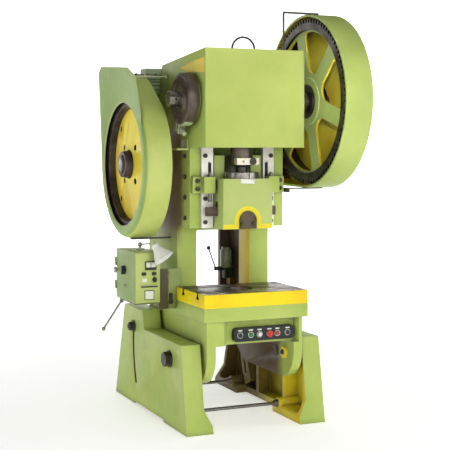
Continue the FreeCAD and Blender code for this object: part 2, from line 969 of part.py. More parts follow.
def leg(name, side):
    piece = Piece(name)
    arch_front = d.front_foot + d.foot_length
    arch_rear = d.rear_foot - d.foot_length
    profile = [(d.front_foot, sized(0)), (arch_front, sized(0)),
               (arch_front + d.foot_relief, d.foot_relief),
               (arch_rear - d.foot_relief, d.foot_relief),
               (arch_rear, sized(0)), (d.rear_foot, sized(0)),
               (d.rear_shoulder, d.leg_level), (d.step_head, d.leg_level),
               (d.step_foot, d.ledge_level), (d.front_shoulder, d.ledge_level)]
    piece.pad("YZ", [profile], *span(side, foot_inner, d.leg_outer))
    # the post stands back from the feet, with a sloping flare between them
    above_feet = [(foot_inner - 10, d.foot_edge), (foot_inner, d.foot_edge),
                  (post_inner, d.foot_flare), (post_inner, d.leg_level + 10),
                  (foot_inner - 10, d.leg_level + 10)]
    piece.pocket("XZ", [sided(side, above_feet)], d.front_foot - 10, d.rear_foot + 10)
    between_feet = rectangle(arch_front, arch_rear, sized(-5), d.foot_flare + 5)
    piece.pocket("YZ", [between_feet], *span(side, foot_inner - 5, post_inner))
    # the inner side is open: one hollow, then ribs and bosses in it
    floor = d.leg_floor
    low_roof = d.ledge_level - d.leg_wall
    high_roof = d.leg_level - d.leg_wall
    hollow = [(front_line(floor) + d.leg_wall, floor), (rear_line(floor) - d.leg_wall, floor),
              (rear_line(high_roof) - d.leg_wall, high_roof),
              (d.step_head + d.leg_wall, high_roof), (d.step_foot + d.leg_wall, low_roof),
              (front_line(low_roof) + d.leg_wall, low_roof)]
    piece.pocket("YZ", [hollow], *span(side, foot_inner - 20, d.leg_outer - d.leg_web))
    piece.round(d.leg_corner, lambda edge: along(edge, 0) and inside_leg(edge))
    inner = span(side, post_inner, d.leg_outer - d.leg_web / 2)
    for line in (d.first_rib, d.second_rib):
        rib = rectangle(line - d.leg_rib / 2, line + d.leg_rib / 2, floor - 5, low_roof + 5)
        piece.pad("YZ", [rib], *inner)
    piece.pad("YZ", [("circle", d.pivot_line, d.pivot_level, d.pivot_boss)], *inner)
    piece.pad("YZ", [slot_band()], *inner)
    bosses = [("circle", line, d.tie_level, d.tie_boss) for line in (d.front_tie, d.rear_tie)]
    piece.pad("YZ", bosses, *span(side, foot_inner - d.tie_stand, d.leg_outer - d.leg_web / 2))
    # bores: pivot bolt, lock bolt slot, blind tie rod holes, foundation bolt holes
    through = span(side, foot_inner - 5, d.leg_outer + 5)
    piece.pocket("YZ", [("circle", d.pivot_line, d.pivot_level, d.pivot_pin + d.seat_gap)],
                 *through)
    piece.pocket("YZ", [lock_slot()], *through)
    holes = [("circle", line, d.tie_level, d.tie_pin + d.seat_gap)
             for line in (d.front_tie, d.rear_tie)]
    piece.pocket("YZ", holes, *span(side, foot_inner - d.tie_stand - 5,
                                    foot_inner - d.tie_stand + d.tie_thread + d.seat_gap))
    feet = [("circle", side * d.foundation_across, way * d.foundation_along, d.foundation_hole)
            for way in (-1, 1)]
    piece.pocket("XY", feet, -5, floor + 5)
    return piece


def inside_leg(edge):
    """The long edges of the leg's hollow: all its corners but the outer ones."""
    place = middle(edge)
    low = float(d.leg_floor) - 1
    return (low < place.z < float(d.leg_level - d.leg_wall) + 1
            and abs(place.x) < float(d.leg_outer - d.leg_web / 2)
            and float(front_line(place.z)) + 20 < place.y < float(rear_line(place.z)) - 20
            and edge.Length > 60)


leg("left_leg", -1)
leg("right_leg", 1)


# ---------------------------------------------------------------------------------------
# Frame casting: two side plates joined by the bed, the crown and the head


def side_profile():
    """Outline of the side plates, seen from the side: bed below, throat in front, head
    above it reaching forward over the bed."""
    corner = d.body_corner
    return [(d.body_front + corner, d.body_floor), (d.step_foot, d.body_floor),
            (d.frame_rear, d.body_rear_floor), (d.frame_rear, d.shelf_level),
            (d.hood_rear, d.shelf_level), (d.hood_rear, d.hood_level),
            (d.head_rear, d.head_top_rear),
            (d.frame_front, hood_top(d.frame_front)), (d.frame_front, d.head_floor),
            (d.guide_front, d.head_floor), (d.guide_front, d.guide_floor),
            (d.throat_line, d.guide_floor), (d.throat_line, d.bed_level),
            (d.body_front, d.bed_level), (d.body_front, d.body_floor + corner)]


def hood_top(line):
    """Level of the head's sloping top above a line across the press."""
    fall = (d.head_top - d.head_top_rear) / (d.head_rear - d.head_front)
    return d.head_top - fall * (line - d.head_front)


def cast_frame():
    piece = Piece("frame")
    profile = side_profile()
    first = profile[0] + (d.body_corner,)
    piece.pad("YZ", [[first] + profile[1:]], -d.frame_half, d.frame_half)
    piece.round(d.throat_corner, lambda edge: along(edge, 0) and in_throat(edge))
    # the hollows between the side plates
    plate = d.casting_wall
    roof = hood_top(d.frame_front) - plate
    head_room = [(d.frame_front - 10, d.guide_floor - 10), (cross_front, d.guide_floor - 10),
                 (cross_front, hood_top(cross_front) - plate), (d.frame_front - 10, roof)]
    back_wall = d.frame_rear - plate
    drive_room = [(d.throat_line, crown_floor + d.crown_web),
                  (back_wall, crown_floor + d.crown_web),
                  (back_wall, d.shelf_level - plate), (d.hood_rear - plate, d.shelf_level - plate),
                  (d.hood_rear - plate, d.hood_level - plate),
                  (d.throat_line, hood_top(d.throat_line) - plate * 1.6)]
    under_bed = [(d.body_front - 10, d.body_floor - 10), (d.frame_rear + 10, d.body_floor - 10),
                 (d.frame_rear + 10, d.bed_under), (d.apron_line + d.apron_plate, d.bed_under),
                 (d.apron_line + d.apron_plate, d.apron_floor),
                 (d.body_front - 10, d.apron_floor)]
    rear_throat = rectangle(pillar_rear, d.frame_rear - d.rear_flange, d.bed_level, crown_floor)
    piece.pocket("YZ", [head_room], -frame_inner, frame_inner)
    piece.pocket("YZ", [drive_room], -frame_inner, frame_inner)
    piece.pocket("YZ", [under_bed], -frame_inner, frame_inner)
    piece.pocket("YZ", [rear_throat], -frame_inner, frame_inner)
    # the throat is open from front to back, with round upper corners
    width = d.pillar_inner
    top = d.guide_floor - 4
    arch = [(-width, d.bed_level), (width, d.bed_level), (width, top - d.arch_corner),
            (width - d.arch_corner, top, d.arch_corner), (d.arch_corner - width, top),
            (-width, top - d.arch_corner, d.arch_corner)]
    piece.pocket("XZ", [arch], d.throat_line - 5, d.frame_rear + 5)
    # recess of the apron, with slanted sides, that carries the button panel
    recess = [(d.recess_left, d.body_front - 5), (d.recess_left, d.body_front),
              (d.recess_left + d.recess_slant, d.apron_line),
              (d.recess_right - d.recess_slant_right, d.apron_line),
              (d.recess_right, d.body_front), (d.recess_right, d.body_front - 5)]
    piece.pocket("XY", [recess], d.apron_floor - 5, d.bed_under)
    # bed flange and guide housings
    piece.pad("XY", [rectangle(-d.bed_half, d.bed_half, d.bed_front, bed_rear)],
              d.bed_under, d.bed_level)
    vee = d.guide_vee_line
    reach = d.slide_half + d.guide_vee + d.vee_gap
    near = d.slide_half + d.vee_gap
    housing = [(d.frame_half, d.guide_front), (d.frame_half, cross_front + 5),
               (near, cross_front + 5), (near, vee + d.guide_vee),
               (reach, vee), (d.gib_outer, vee), (d.gib_outer, d.guide_front)]
    for side in (-1, 1):
        piece.pad("XY", [sided(side, housing)], d.guide_floor, d.head_floor)
    # thicker sides of the head, flush with its front cover
    cheek = [(d.frame_front, d.head_floor), (d.hood_rear, d.head_floor),
             (d.hood_rear, d.hood_level), (d.head_rear, d.head_top_rear),
             (d.frame_front, hood_top(d.frame_front))]
    for side in (-1, 1):
        piece.pad("YZ", [cheek], *span(side, d.frame_half - 5, d.head_half))
    # outer bosses for the pivot bolts, the lock bolts and the drive shaft
    bosses = [("circle", d.pivot_line, d.pivot_level, d.pivot_boss),
              ("circle", lock_line, lock_level, d.slot_band_half)]
    for side in (-1, 1):
        piece.pad("YZ", bosses, *span(side, d.frame_half - 5, post_inner - d.leg_gap))
        piece.pad("YZ", [("circle", d.drive_line, drive_level, d.drive_boss)],
                  *span(side, frame_inner - 30, d.head_half))
    # bores
    piece.pocket("YZ", [("circle", d.crank_line, d.crank_level, d.housing_bore)],
                 -d.head_half - 5, d.head_half + 5)
    piece.pocket("YZ", [("circle", d.drive_line, drive_level, d.drive_bearing + d.seat_gap / 3)],
                 -d.head_half - 5, d.head_half + 5)
    for side in (-1, 1):
        piece.pocket("YZ", [("circle", d.pivot_line, d.pivot_level, d.pivot_pin + d.shaft_gap)],
                     *span(side, frame_inner - 5, post_inner + 5))
        piece.pocket("YZ", [("circle", lock_line, lock_level, d.lock_pin + d.seat_gap)],
                     *span(side, frame_inner - 5, post_inner + 5))
    piece.pocket("XY", [("circle", sized(0), d.crank_line, d.die_hole)],
                 d.bed_under - 5, d.bed_level + 5)
    return piece


def in_throat(edge):
    place = middle(edge)
    upper = abs(place.z - float(d.guide_floor)) < 1
    lower = abs(place.z - float(d.bed_level)) < 1
    return (upper or lower) and abs(place.y - float(d.throat_line)) < 1


cast_frame()


# ---------------------------------------------------------------------------------------
# Fasteners of the base, and the bolts that the frame leans on


def tie_rods():
    reach = foot_inner - d.tie_stand + d.tie_thread
    rods = [rod("X", (-reach, line, d.tie_level), d.tie_pin, reach * 2)
            for line in (d.front_tie, d.rear_tie)]
    name_node(group(rods), "tie_rods")


def tie_rod_nuts():
    """A flared lock nut on each end of the rods, against the bosses of the legs."""
    nuts = []
    seat = foot_inner - d.tie_stand
    for line in (d.front_tie, d.rear_tie):
        for side in (-1, 1):
            flare_at = seat - d.tie_nut_length if side > 0 else -seat
            wide = (d.tie_nut * 0.6, d.tie_nut) if side > 0 else (d.tie_nut, d.tie_nut * 0.6)
            flare = cone("X", (flare_at, line, d.tie_level), *wide, d.tie_nut_length)
            hole = rod("X", (flare_at - 1, line, d.tie_level), d.tie_pin + d.seat_gap,
                       d.tie_nut_length + 2)
            nuts.append(cut(flare, hole))
    name_node(group(nuts), "tie_rod_nuts")


def pivot_bolts():
    bolts = []
    for side in (-1, 1):
        low, high = span(side, frame_inner - 6, d.leg_outer)
        washer, _ = span(side, d.leg_outer, d.leg_outer + d.pivot_washer)
        head, _ = span(side, d.leg_outer + d.pivot_washer, d.leg_outer + d.pivot_head)
        place = (d.pivot_line, d.pivot_level)
        bolts.append(fuse(
            rod("X", (low, *place), d.pivot_pin, high - low),
            rod("X", (washer, *place), d.pivot_pin * 1.6, d.pivot_washer),
            hexagon("X", (head, *place), d.pivot_pin * 1.4, d.pivot_head - d.pivot_washer)))
    name_node(group(bolts), "pivot_bolts")


def lock_bolts():
    """Each runs from inside the frame plate, through the leg's arc slot, to its nut."""
    bolts = []
    for side in (-1, 1):
        nut_seat = d.leg_outer + d.seat_gap
        low, high = span(side, frame_inner, nut_seat)
        head, _ = span(side, frame_inner - d.lock_head, frame_inner)
        washer, _ = span(side, nut_seat, nut_seat + d.lock_washer)
        nut, _ = span(side, nut_seat + d.lock_washer, nut_seat + d.lock_washer + d.lock_nut)
        tip, _ = span(side, nut_seat + d.lock_washer, nut_seat + d.lock_nut + d.lock_end)
        place = (lock_line, lock_level)
        bolts.append(fuse(
            rod("X", (low, *place), d.lock_pin, high - low),
            hexagon("X", (head, *place), d.lock_pin * 1.7, d.lock_head),
            rod("X", (washer, *place), d.lock_pin * 2.5, d.lock_washer),
            hexagon("X", (nut, *place), d.lock_pin * 1.8, d.lock_nut),
            rod("X", (tip, *place), d.lock_pin, d.lock_nut + d.lock_end - d.lock_washer)))
    name_node(group(bolts), "lock_bolts")


tie_rods()
tie_rod_nuts()
pivot_bolts()
lock_bolts()


# ---------------------------------------------------------------------------------------
# What is fixed on the frame: bolster, cover, guides, knock-out stops, bearings


def bolster_plate():
    piece = Piece("bolster_plate")
    plan = rectangle(-d.bed_half, d.bed_half, d.bed_front, bed_rear)
    piece.pad("XY", [plan], d.bed_level, bolster_level)
    mouth = d.slot_mouth / 2
    foot = d.slot_foot / 2
    top = bolster_level + 1
    shoulder = bolster_level - d.slot_depth + d.slot_foot_height
    bottom = bolster_level - d.slot_depth
    slots = []
    for way in (-1, 1):
        line = d.crank_line + way * d.slot_spacing / 2
        slots.append([(line - foot, bottom), (line + foot, bottom), (line + foot, shoulder),
                      (line + mouth, shoulder), (line + mouth, top), (line - mouth, top),
                      (line - mouth, shoulder), (line - foot, shoulder)])
    piece.pocket("YZ", slots, -d.bed_half - 1, d.bed_half + 1)
    piece.pocket("XY", [("circle", sized(0), d.crank_line, d.die_hole * 0.7)],
                 d.bed_level - 1, bolster_level + 1)
    screws = [("circle", across * d.bolster_screw_x, d.crank_line + along_y * d.bolster_screw_y,
               d.screw_head + d.bolt_gap) for across in (-1, 1) for along_y in (-1, 1)]
    piece.pocket("XY", screws, bolster_level - d.screw_sink, bolster_level + 1)


def head_cover():
    """Front sheet of the head, stiffened by a rim that stands inside the casting."""
    piece = Piece("head_cover")
    front = rectangle(-d.head_half, d.head_half, d.head_floor, d.head_top)
    piece.pad("XZ", [front], d.head_front, d.head_front + d.cover_sheet)
    half = frame_inner - 4
    low = d.head_floor + 4
    high = hood_top(d.frame_front) - d.casting_wall - 4
    sheet_size = d.cover_sheet
    rim = [rectangle(-half, half, low, high),
           rectangle(sheet_size - half, half - sheet_size, low + sheet_size,
                     high - sheet_size)]
    piece.pad("XZ", rim, d.head_front + d.cover_sheet, d.frame_front + d.cover_rim)


def guide_rail(side):
    """A gib: it closes the front of the slide's vee guide, bolted to the housing."""
    piece = Piece("guide_rail", kept=False)
    near = d.slide_half + d.vee_gap
    vee = d.guide_vee_line
    front = d.guide_front - d.gib_proud
    outer = d.gib_outer - d.seat_gap
    plan = [(d.slide_half + 4, front), (outer, front), (outer, vee - d.seat_gap),
            (near + d.guide_vee - d.seat_gap, vee - d.seat_gap),
            (d.slide_half + 4, vee - d.guide_vee + 4 - d.vee_gap - d.seat_gap)]
    piece.pad("XY", [sided(side, plan)], d.guide_floor, d.head_floor)
    slot = rounded_box(d.rail_slot_x, d.rail_slot_x + 13, d.rail_slot_z, d.rail_slot_z + 92,
                       sized(6))
    piece.pocket("XZ", [sided(side, slot)], front - 1, front + 24)
    holes = [("circle", side * d.gib_bolt_x, level, d.gib_bolt + d.bolt_gap)
             for level in (d.gib_bolt_low, d.gib_bolt_mid, d.gib_bolt_high)]
    piece.pocket("XZ", holes, front - 1, vee)
    return piece.body


def guide_bolts():
    """Front bolts hold the rails and the stop brackets, side bolts set the guides."""
    front = d.guide_front - d.gib_proud
    bolts = []
    for side in (-1, 1):
        for level in (d.gib_bolt_low, d.gib_bolt_mid, d.gib_bolt_high):
            place = (side * d.gib_bolt_x, front, level)
            bolts.append(bolt("Y", place, d.gib_bolt, 50, d.gib_bolt * 1.75, -1))
        low, high = span(side, d.frame_half, d.frame_half + d.side_bolt_head)
        for number in range(4):
            level = d.side_bolt_level + number * d.side_bolt_pitch
            bolts.append(hexagon("X", (low, d.side_bolt_line, level), d.gib_bolt * 1.6,
                                 high - low))
        for part in (0.25, 0.75):
            place = (side * d.stop_bolt_x, front - 14, d.stop_floor + d.stop_height * part)
            bolts.append(bolt("Y", place, d.gib_bolt, 33, d.gib_bolt * 1.75, -1))
    name_node(group(bolts), "guide_bolts")


def stop_bracket(side):
    """It reaches over the rail and holds the knock-out stop screw above the bar's end."""
    piece = Piece("stop_bracket", kept=False)
    rail_front = d.guide_front - d.gib_proud
    front = d.bar_line - d.stop_reach
    plan = [(d.stop_outer, d.guide_front), (d.gib_outer + 3, d.guide_front),
            (d.gib_outer + 3, rail_front), (d.stop_inner, rail_front),
            (d.stop_inner, front), (d.stop_outer - 60, front),
            (d.stop_outer - 60, rail_front - 14), (d.stop_outer, rail_front - 14)]
    piece.pad("XY", [sided(side, plan)], d.stop_floor, d.stop_floor + d.stop_height)
    piece.pocket("XY", [("circle", side * d.stop_x, d.bar_line, d.stop_screw + d.seat_gap)],
                 d.stop_floor - 1, d.stop_floor + d.stop_height + 1)
    holes = [("circle", side * d.stop_bolt_x, d.stop_floor + level, d.gib_bolt + d.bolt_gap)
             for level in (d.stop_height * 0.25, d.stop_height * 0.75)]
    piece.pocket("XZ", holes, rail_front - 20, d.guide_front + 1)
    return piece.body


def stop_screws():
    screws = []
    for side in (-1, 1):
        place = (side * d.stop_x, d.bar_line)
        top = d.stop_floor + d.stop_height
        screws.append(fuse(
            rod("Z", (*place, d.stop_floor - d.stop_drop), d.stop_screw,
                d.stop_height + d.stop_drop + 30),
            hexagon("Z", (*place, top), d.stop_screw * 1.8, 16),
            hexagon("Z", (*place, d.stop_floor - d.stop_drop - 14), d.stop_screw * 1.5, 14)))
    name_node(group(screws), "stop_screws")


def bearing_housing(side):
    """Flanged housing that carries a bush of the crankshaft in the head's side."""
    piece = Piece("bearing_housing", (0, d.crank_line, d.crank_level), kept=False)
    inside, outside = span(side, frame_inner - 2, d.head_half)
    flange_low, flange_high = span(side, d.head_half, d.head_half + d.housing_flange)
    sleeve = rectangle(inside, outside, d.journal + d.bush_wall, d.housing_bore - d.seat_gap)
    flange = rectangle(flange_low, flange_high, d.journal + d.bush_wall,
                       d.housing_bore + d.housing_lip)
    piece.turn([sleeve])
    piece.turn([flange])
    return piece.body


def tube(axis, at, outer, inner, length):
    shift = {"X": 0, "Y": 1, "Z": 2}[axis]
    hole_at = list(at)
    hole_at[shift] = sized(at[shift]) - 1
    return cut(rod(axis, at, outer, length), rod(axis, hole_at, inner, sized(length) + 2))


def bushes():
    """Bronze bushes of the crankshaft and of the drive shaft."""
    sleeves = []
    for side in (-1, 1):
        low, high = span(side, frame_inner - 6, d.head_half + d.housing_flange)
        sleeves.append(tube("X", (low, d.crank_line, d.crank_level),
                            d.journal + d.bush_wall - d.seat_gap / 6,
                            d.journal + d.shaft_gap, high - low))
        low, high = span(side, frame_inner - 24, d.head_half + 4)
        sleeves.append(tube("X", (low, d.drive_line, drive_level), d.drive_bearing,
                            d.drive_journal + d.shaft_gap, high - low))
    name_node(group(sleeves), "bearing_bushes")


def both_sides(make):
    return group([make(-1), make(1)])


bolster_plate()
head_cover()
name_node(both_sides(guide_rail), "guide_rails")
guide_bolts()
name_node(both_sides(stop_bracket), "stop_brackets")
stop_screws()
name_node(both_sides(bearing_housing), "bearing_housings")
bushes()


# ---------------------------------------------------------------------------------------
# Crankshaft with its brake


def crankshaft():
    """The throw points straight up at rest: the slide is at the top of its stroke."""
    piece = Piece("crankshaft", (0, d.crank_line, d.crank_level))
    half_pin = d.pin_width / 2
    web_end = half_pin + d.web_thickness
    webs = [("circle", sized(0), sized(0), d.web_main)]
    throws = [("circle", sized(0), crank_throw, d.web_pin)]
    cheeks = rectangle(-d.web_pin * 0.96, d.web_pin * 0.96, sized(0), crank_throw)
    for side in (-1, 1):
        low, high = span(side, half_pin, web_end)
        piece.pad("YZ", webs, low, high)
        piece.pad("YZ", throws, low, high)
        piece.pad("YZ", [cheeks], low, high)
    piece.pad("YZ", [("circle", sized(0), crank_throw, d.pin_radius)], -web_end, web_end)
    right = [(web_end - 5, sized(0)), (d.gear_end_nut, sized(0)), (d.gear_end_nut, d.shaft_end),
             (d.gear_start + d.gear_width, d.shaft_end),
             (d.gear_start + d.gear_width, d.gear_seat), (d.gear_start - 22, d.gear_seat),
             (d.gear_start - 22, d.journal), (web_end - 5, d.journal)]
    left = [(5 - web_end, sized(0)), (5 - web_end, d.journal), (-d.drum_start, d.journal),
            (-d.drum_start, d.drum_seat), (-d.drum_start - d.drum_width, d.drum_seat),
            (-d.drum_start - d.drum_width, d.stub_radius), (4 - d.stub_end, d.stub_radius),
            (-d.stub_end, d.stub_radius - 4), (-d.stub_end, sized(0))]
    piece.turn([right])
    piece.turn([left])
    # the bar hole in the stub, by which the crank is turned by hand
    hole_x = (d.drum_start + d.drum_width + d.stub_end) / -2
    piece.pocket("XZ", [("circle", hole_x, sized(0), d.bar_hole)], -d.stub_radius - 1,
                 d.stub_radius + 1)


def brake_drum():
    piece = Piece("brake_drum", (0, d.crank_line, d.crank_level))
    outer = -d.drum_start - d.drum_width
    inner = -d.drum_start
    bore = d.drum_seat + d.seat_gap / 6
    rim = d.drum_radius - 26
    profile = [(outer, bore), (outer, bore + 20), (outer + 14, bore + 26),
               (outer + 14, rim - 8), (outer, rim), (outer, d.drum_radius - 3),
               (outer + 3, d.drum_radius), (inner, d.drum_radius), (inner, bore)]
    piece.turn([profile])


def lug_bar(kind, start, length, **sizes):
    """A primitive laid square to the band's lugs, from start to start + length."""
    across = cosine(d.lug_angle)
    up = sine(d.lug_angle)
    out = d.drum_radius + d.seat_gap + d.band_thickness + d.lug_height * 0.55
    turn = Rotation(Vector(1, 0, 0), float(d.lug_angle))
    at = (-d.drum_start - d.drum_width / 2, d.crank_line + out * across - start * up,
          d.crank_level + out * up + start * across)
    return primitive(kind, at, turn, Height=length, **sizes)


def brake_band():
    """A steel band with a lining, open where the spring bolt draws its two lugs together."""
    band_low = -d.drum_start - d.drum_width + 6
    band_high = -d.drum_start - 8
    inner = d.drum_radius + d.seat_gap
    outer = inner + d.band_thickness
    piece = Piece("band_blank", (0, d.crank_line, d.crank_level), kept=False)
    piece.turn([rectangle(band_low, band_high, inner, outer)])
    reach = outer + d.lug_height
    half = d.lug_gap / 2
    across = cosine(d.lug_angle)
    up = sine(d.lug_angle)

    def spot(out, sideways):
        return (out * across - sideways * up, out * up + sideways * across)

    for way in (-1, 1):
        lug = [spot(inner + 1, way * half), spot(reach, way * half),
               spot(reach, way * (half + d.lug_sheet)),
               spot(inner + 1, way * (half + d.lug_sheet))]
        piece.pad("YZ", [lug], band_low + 8, band_high - 8)
    opening = [spot(inner - 3, -half), spot(reach + 5, -half), spot(reach + 5, half),
               spot(inner - 3, half)]
    piece.pocket("YZ", [opening], band_low - 1, band_high + 1)
    hole = lug_bar("Cylinder", -half - d.lug_sheet - 1, d.lug_gap + d.lug_sheet * 2 + 2,
                   Radius=d.band_bolt + d.seat_gap)
    name_node(cut(piece.body, hole), "brake_band")


def brake_spring_bolt():
    """The bolt through the lugs, its nuts, and the spring that draws the band tight."""
    half = d.lug_gap / 2 + d.lug_sheet + d.seat_gap
    parts = [lug_bar("Cylinder", -half - 62, half * 2 + 84, Radius=d.band_bolt)]
    for start, length in ((half, sized(12)), (-half - 60, sized(10))):
        parts.append(lug_bar("Prism", start, length, Circumradius=d.band_bolt * 1.9))
    for turn_number in range(6):
        start = -half - 6 - turn_number * 8.3
        parts.append(lug_bar("Cylinder", start, sized(5.2), Radius=d.band_bolt * 2))
    name_node(fuse(*parts), "brake_spring_bolt")


def brake_anchor():
    """The bracket on the head's side that keeps the band from turning."""
    piece = Piece("brake_anchor")
    low = d.crank_level + d.anchor_drop
    plan = [(d.head_half, low), (d.drum_start + d.drum_width - 8, low),
            (d.drum_start + d.drum_width - 8, low + 12), (d.head_half + 12, low + 12),
            (d.head_half + 12, low + d.anchor_height), (d.head_half, low + d.anchor_height)]
    line = d.crank_line + d.anchor_line
    piece.pad("XZ", [mirrored(plan)], line - d.anchor_width / 2, line + d.anchor_width / 2)


# ---------------------------------------------------------------------------------------
# Connecting rod, ball screw and slide


def connecting_rod():
    """The eye is wider than the crank pin, because the rod only goes up and down: the
    crank's sideways swing is taken up inside the eye."""
    piece = Piece("connecting_rod", (0, d.crank_line, 0))
    centre = d.crank_level + crank_throw
    lift = crank_throw * d.eye_lift + d.eye_gap + d.pin_radius
    swing = crank_throw + d.eye_gap + d.pin_radius
    still = d.eye_gap + d.pin_radius
    half = d.pin_width / 2 - d.eye_side_gap
    eye = rounded_box(-swing - d.eye_wall, still + d.eye_wall, centre - lift - d.eye_wall,
                      centre + lift + d.eye_wall * 0.7, d.eye_corner + d.eye_wall)
    opening = rounded_box(-swing, still, centre - lift, centre + lift, d.eye_corner)
    piece.pad("YZ", [eye], -half, half)
    neck_top = centre - lift - d.eye_wall + 20
    shank = [(sized(0), d.rod_floor), (d.rod_radius, d.rod_floor),
             (d.rod_radius, d.rod_floor + 130), (d.rod_radius * 0.86, d.rod_floor + 175),
             (d.rod_radius * 0.86, neck_top - 60), (half, neck_top - 15), (half, neck_top),
             (sized(0), neck_top)]
    piece.turn([shank], "Z")
    piece.pocket("YZ", [opening], -half - 1, half + 1)
    piece.pocket("XY", [("circle", sized(0), sized(0), d.screw_thread + d.shaft_gap)],
                 d.rod_floor - 1, d.rod_floor + d.rod_bore_depth)


def rod_clamp():
    """The clamp that locks the ball screw: a block on the front of the rod's end."""
    low = d.rod_floor
    front = d.crank_line - d.clamp_front
    body = block(-d.clamp_left, d.clamp_right, front, d.crank_line - d.screw_thread, low,
                 low + d.clamp_height)
    seat = rod("Z", (0, d.crank_line, low - 1), d.rod_radius + d.seat_gap / 3,
               d.clamp_height + 2)
    sunk = rod("Y", (-d.clamp_screw, front - 1, low + d.clamp_height / 2), 7, 12)
    name_node(cut(body, seat, sunk), "rod_clamp")


def ball_screw():
    piece = Piece("ball_screw", (0, d.crank_line, 0))
    ball_radius = d.ball_radius
    neck_rise = root(ball_radius ** 2 - d.screw_neck ** 2)
    start = d.rod_floor - 8
    profile = [(sized(0), d.ball_level - ball_radius),
               (d.screw_neck, d.ball_level + neck_rise, ball_radius),
               (d.screw_neck, start - 8), (d.screw_thread, start),
               (d.screw_thread, start + d.screw_length),
               (sized(0), start + d.screw_length)]
    piece.turn([profile], "Z")


def ball_seat():
    """Bronze cup under the ball."""
    piece = Piece("ball_seat", (0, d.crank_line, 0))
    hollow = d.ball_radius + d.seat_gap
    hole = d.seat_hole
    fall = root(hollow ** 2 - hole ** 2)
    bottom = d.ball_level - d.ball_radius - d.seat_floor
    profile = [(hole, bottom), (d.seat_radius - d.seat_gap / 3, bottom),
               (d.seat_radius - d.seat_gap / 3, d.ball_level - 1),
               (hollow, d.ball_level - 1), (hollow, d.ball_level),
               (hole, d.ball_level - fall, -hollow)]
    piece.turn([profile], "Z")


def ring_nut():
    """It holds the ball down in the slide: a disc with a spigot, hollow to the ball."""
    piece = Piece("ring_nut", (0, d.crank_line, 0))
    hollow = d.ball_radius + d.seat_gap
    mouth = d.screw_neck + 5
    rise = root(hollow ** 2 - mouth ** 2)
    spigot = d.seat_radius - d.seat_gap / 3
    top = slide_top + d.ring_height
    profile = [(hollow, d.ball_level + 3), (spigot, d.ball_level + 3), (spigot, slide_top),
               (d.ring_radius, slide_top), (d.ring_radius, top - 3), (d.ring_radius - 3, top),
               (mouth + 12, top), (mouth, d.ball_level + rise + 4),
               (mouth, d.ball_level + rise), (hollow, d.ball_level + 4, -hollow)]
    piece.turn([profile], "Z")
    notch = rectangle(-8, 8, d.ring_radius - 11, d.ring_radius + 6)
    first = piece.pocket("XY", [notch], slide_top - 1, top + 1)
    piece.repeat(first, d.ring_notches)


def slide():
    """Front block and tall guided spine in one casting. The vees run in the guides."""
    piece = Piece("slide", (0, d.crank_line, 0))
    front = d.slide_front - d.crank_line
    spine = d.slide_spine - d.crank_line
    back = d.slide_back - d.crank_line
    vee = d.guide_vee_line - d.crank_line
    half = d.slide_half
    reach = d.guide_vee - 6
    block_plan = rectangle(-half, half, front, spine + 5)
    spine_plan = [(-half, spine), (half, spine), (half, vee - reach - 4), (half + reach, vee - 4),
                  (half + reach, vee + 4), (half, vee + reach + 4), (half, back), (-half, back),
                  (-half, vee + reach + 4), (-half - reach, vee + 4),
                  (-half - reach, vee - 4), (-half, vee - reach - 4)]
    piece.pad("XY", [block_plan], d.slide_floor, slide_top)
    piece.pad("XY", [spine_plan], d.slide_floor, d.spine_top)
    seat_bottom = d.ball_level - d.ball_radius - d.seat_floor
    piece.pocket("XY", [("circle", sized(0), sized(0), d.seat_radius)], seat_bottom,
                 slide_top + 1)
    piece.pocket("XY", [("circle", sized(0), sized(0), d.ring_radius + 2)], slide_top,
                 d.spine_top + 1)
    # knock-out slot from side to side, and the pin hole down to the tool shank
    line = d.bar_line - d.crank_line
    slot = rectangle(line - d.bar_depth / 2 - 1.5, line + d.bar_depth / 2 + 1.5,
                     d.bar_floor - d.seat_gap, d.bar_floor + d.bar_height + d.bar_travel + 1)
    piece.pocket("YZ", [slot], -half - 50, half + 50)
    piece.pocket("XY", [("circle", sized(0), sized(0), d.ejector_hole)],
                 d.slide_floor + d.shank_depth - 1, d.bar_floor + 1)
    piece.pocket("XY", [("circle", sized(0), sized(0), d.shank_radius)],
                 d.slide_floor - 1, d.slide_floor + d.shank_depth)
    arch = shank_arch(d.arch_half)
    piece.pocket("XZ", [arch], front - 1, -d.split_gap)


def shank_arch(half):
    """Front view of the clamp block: straight sides under a half circle."""
    spring = d.slide_floor + d.arch_rise
    return [(-half, d.slide_floor - 1), (half, d.slide_floor - 1), (half, spring),
            (sized(0), spring + half, half), (-half, spring, half)]


def shank_clamp():
    """Half-round-topped block drawn against the tool shank by two nuts on studs."""
    piece = Piece("shank_clamp", (0, d.crank_line, 0))
    front = d.slide_front - d.crank_line
    half = d.arch_half - 1
    spring = d.slide_floor + d.arch_rise
    outline = [(-half, d.slide_floor), (half, d.slide_floor), (half, spring),
               (sized(0), spring + half, half), (-half, spring, half)]
    piece.pad("XZ", [outline], front - d.clamp_proud, -d.split_gap - 1)
    piece.pocket("XY", [("circle", sized(0), sized(0), d.shank_radius)],
                 d.slide_floor - 1, d.slide_floor + d.shank_depth)
    # relieved behind the knock-out bar
    bar_front = d.bar_line - d.bar_depth / 2 - d.crank_line
    piece.pocket("YZ", [rectangle(bar_front - 2, sized(5), d.bar_floor - 3,
                                  spring + half + 1)], -half - 1, half + 1)
    studs = [("circle", way * d.stud_x, d.slide_floor + d.stud_rise, d.stud_radius + d.bolt_gap)
             for way in (-1, 1)]
    piece.pocket("XZ", studs, front - d.clamp_proud - 1, front + 30)


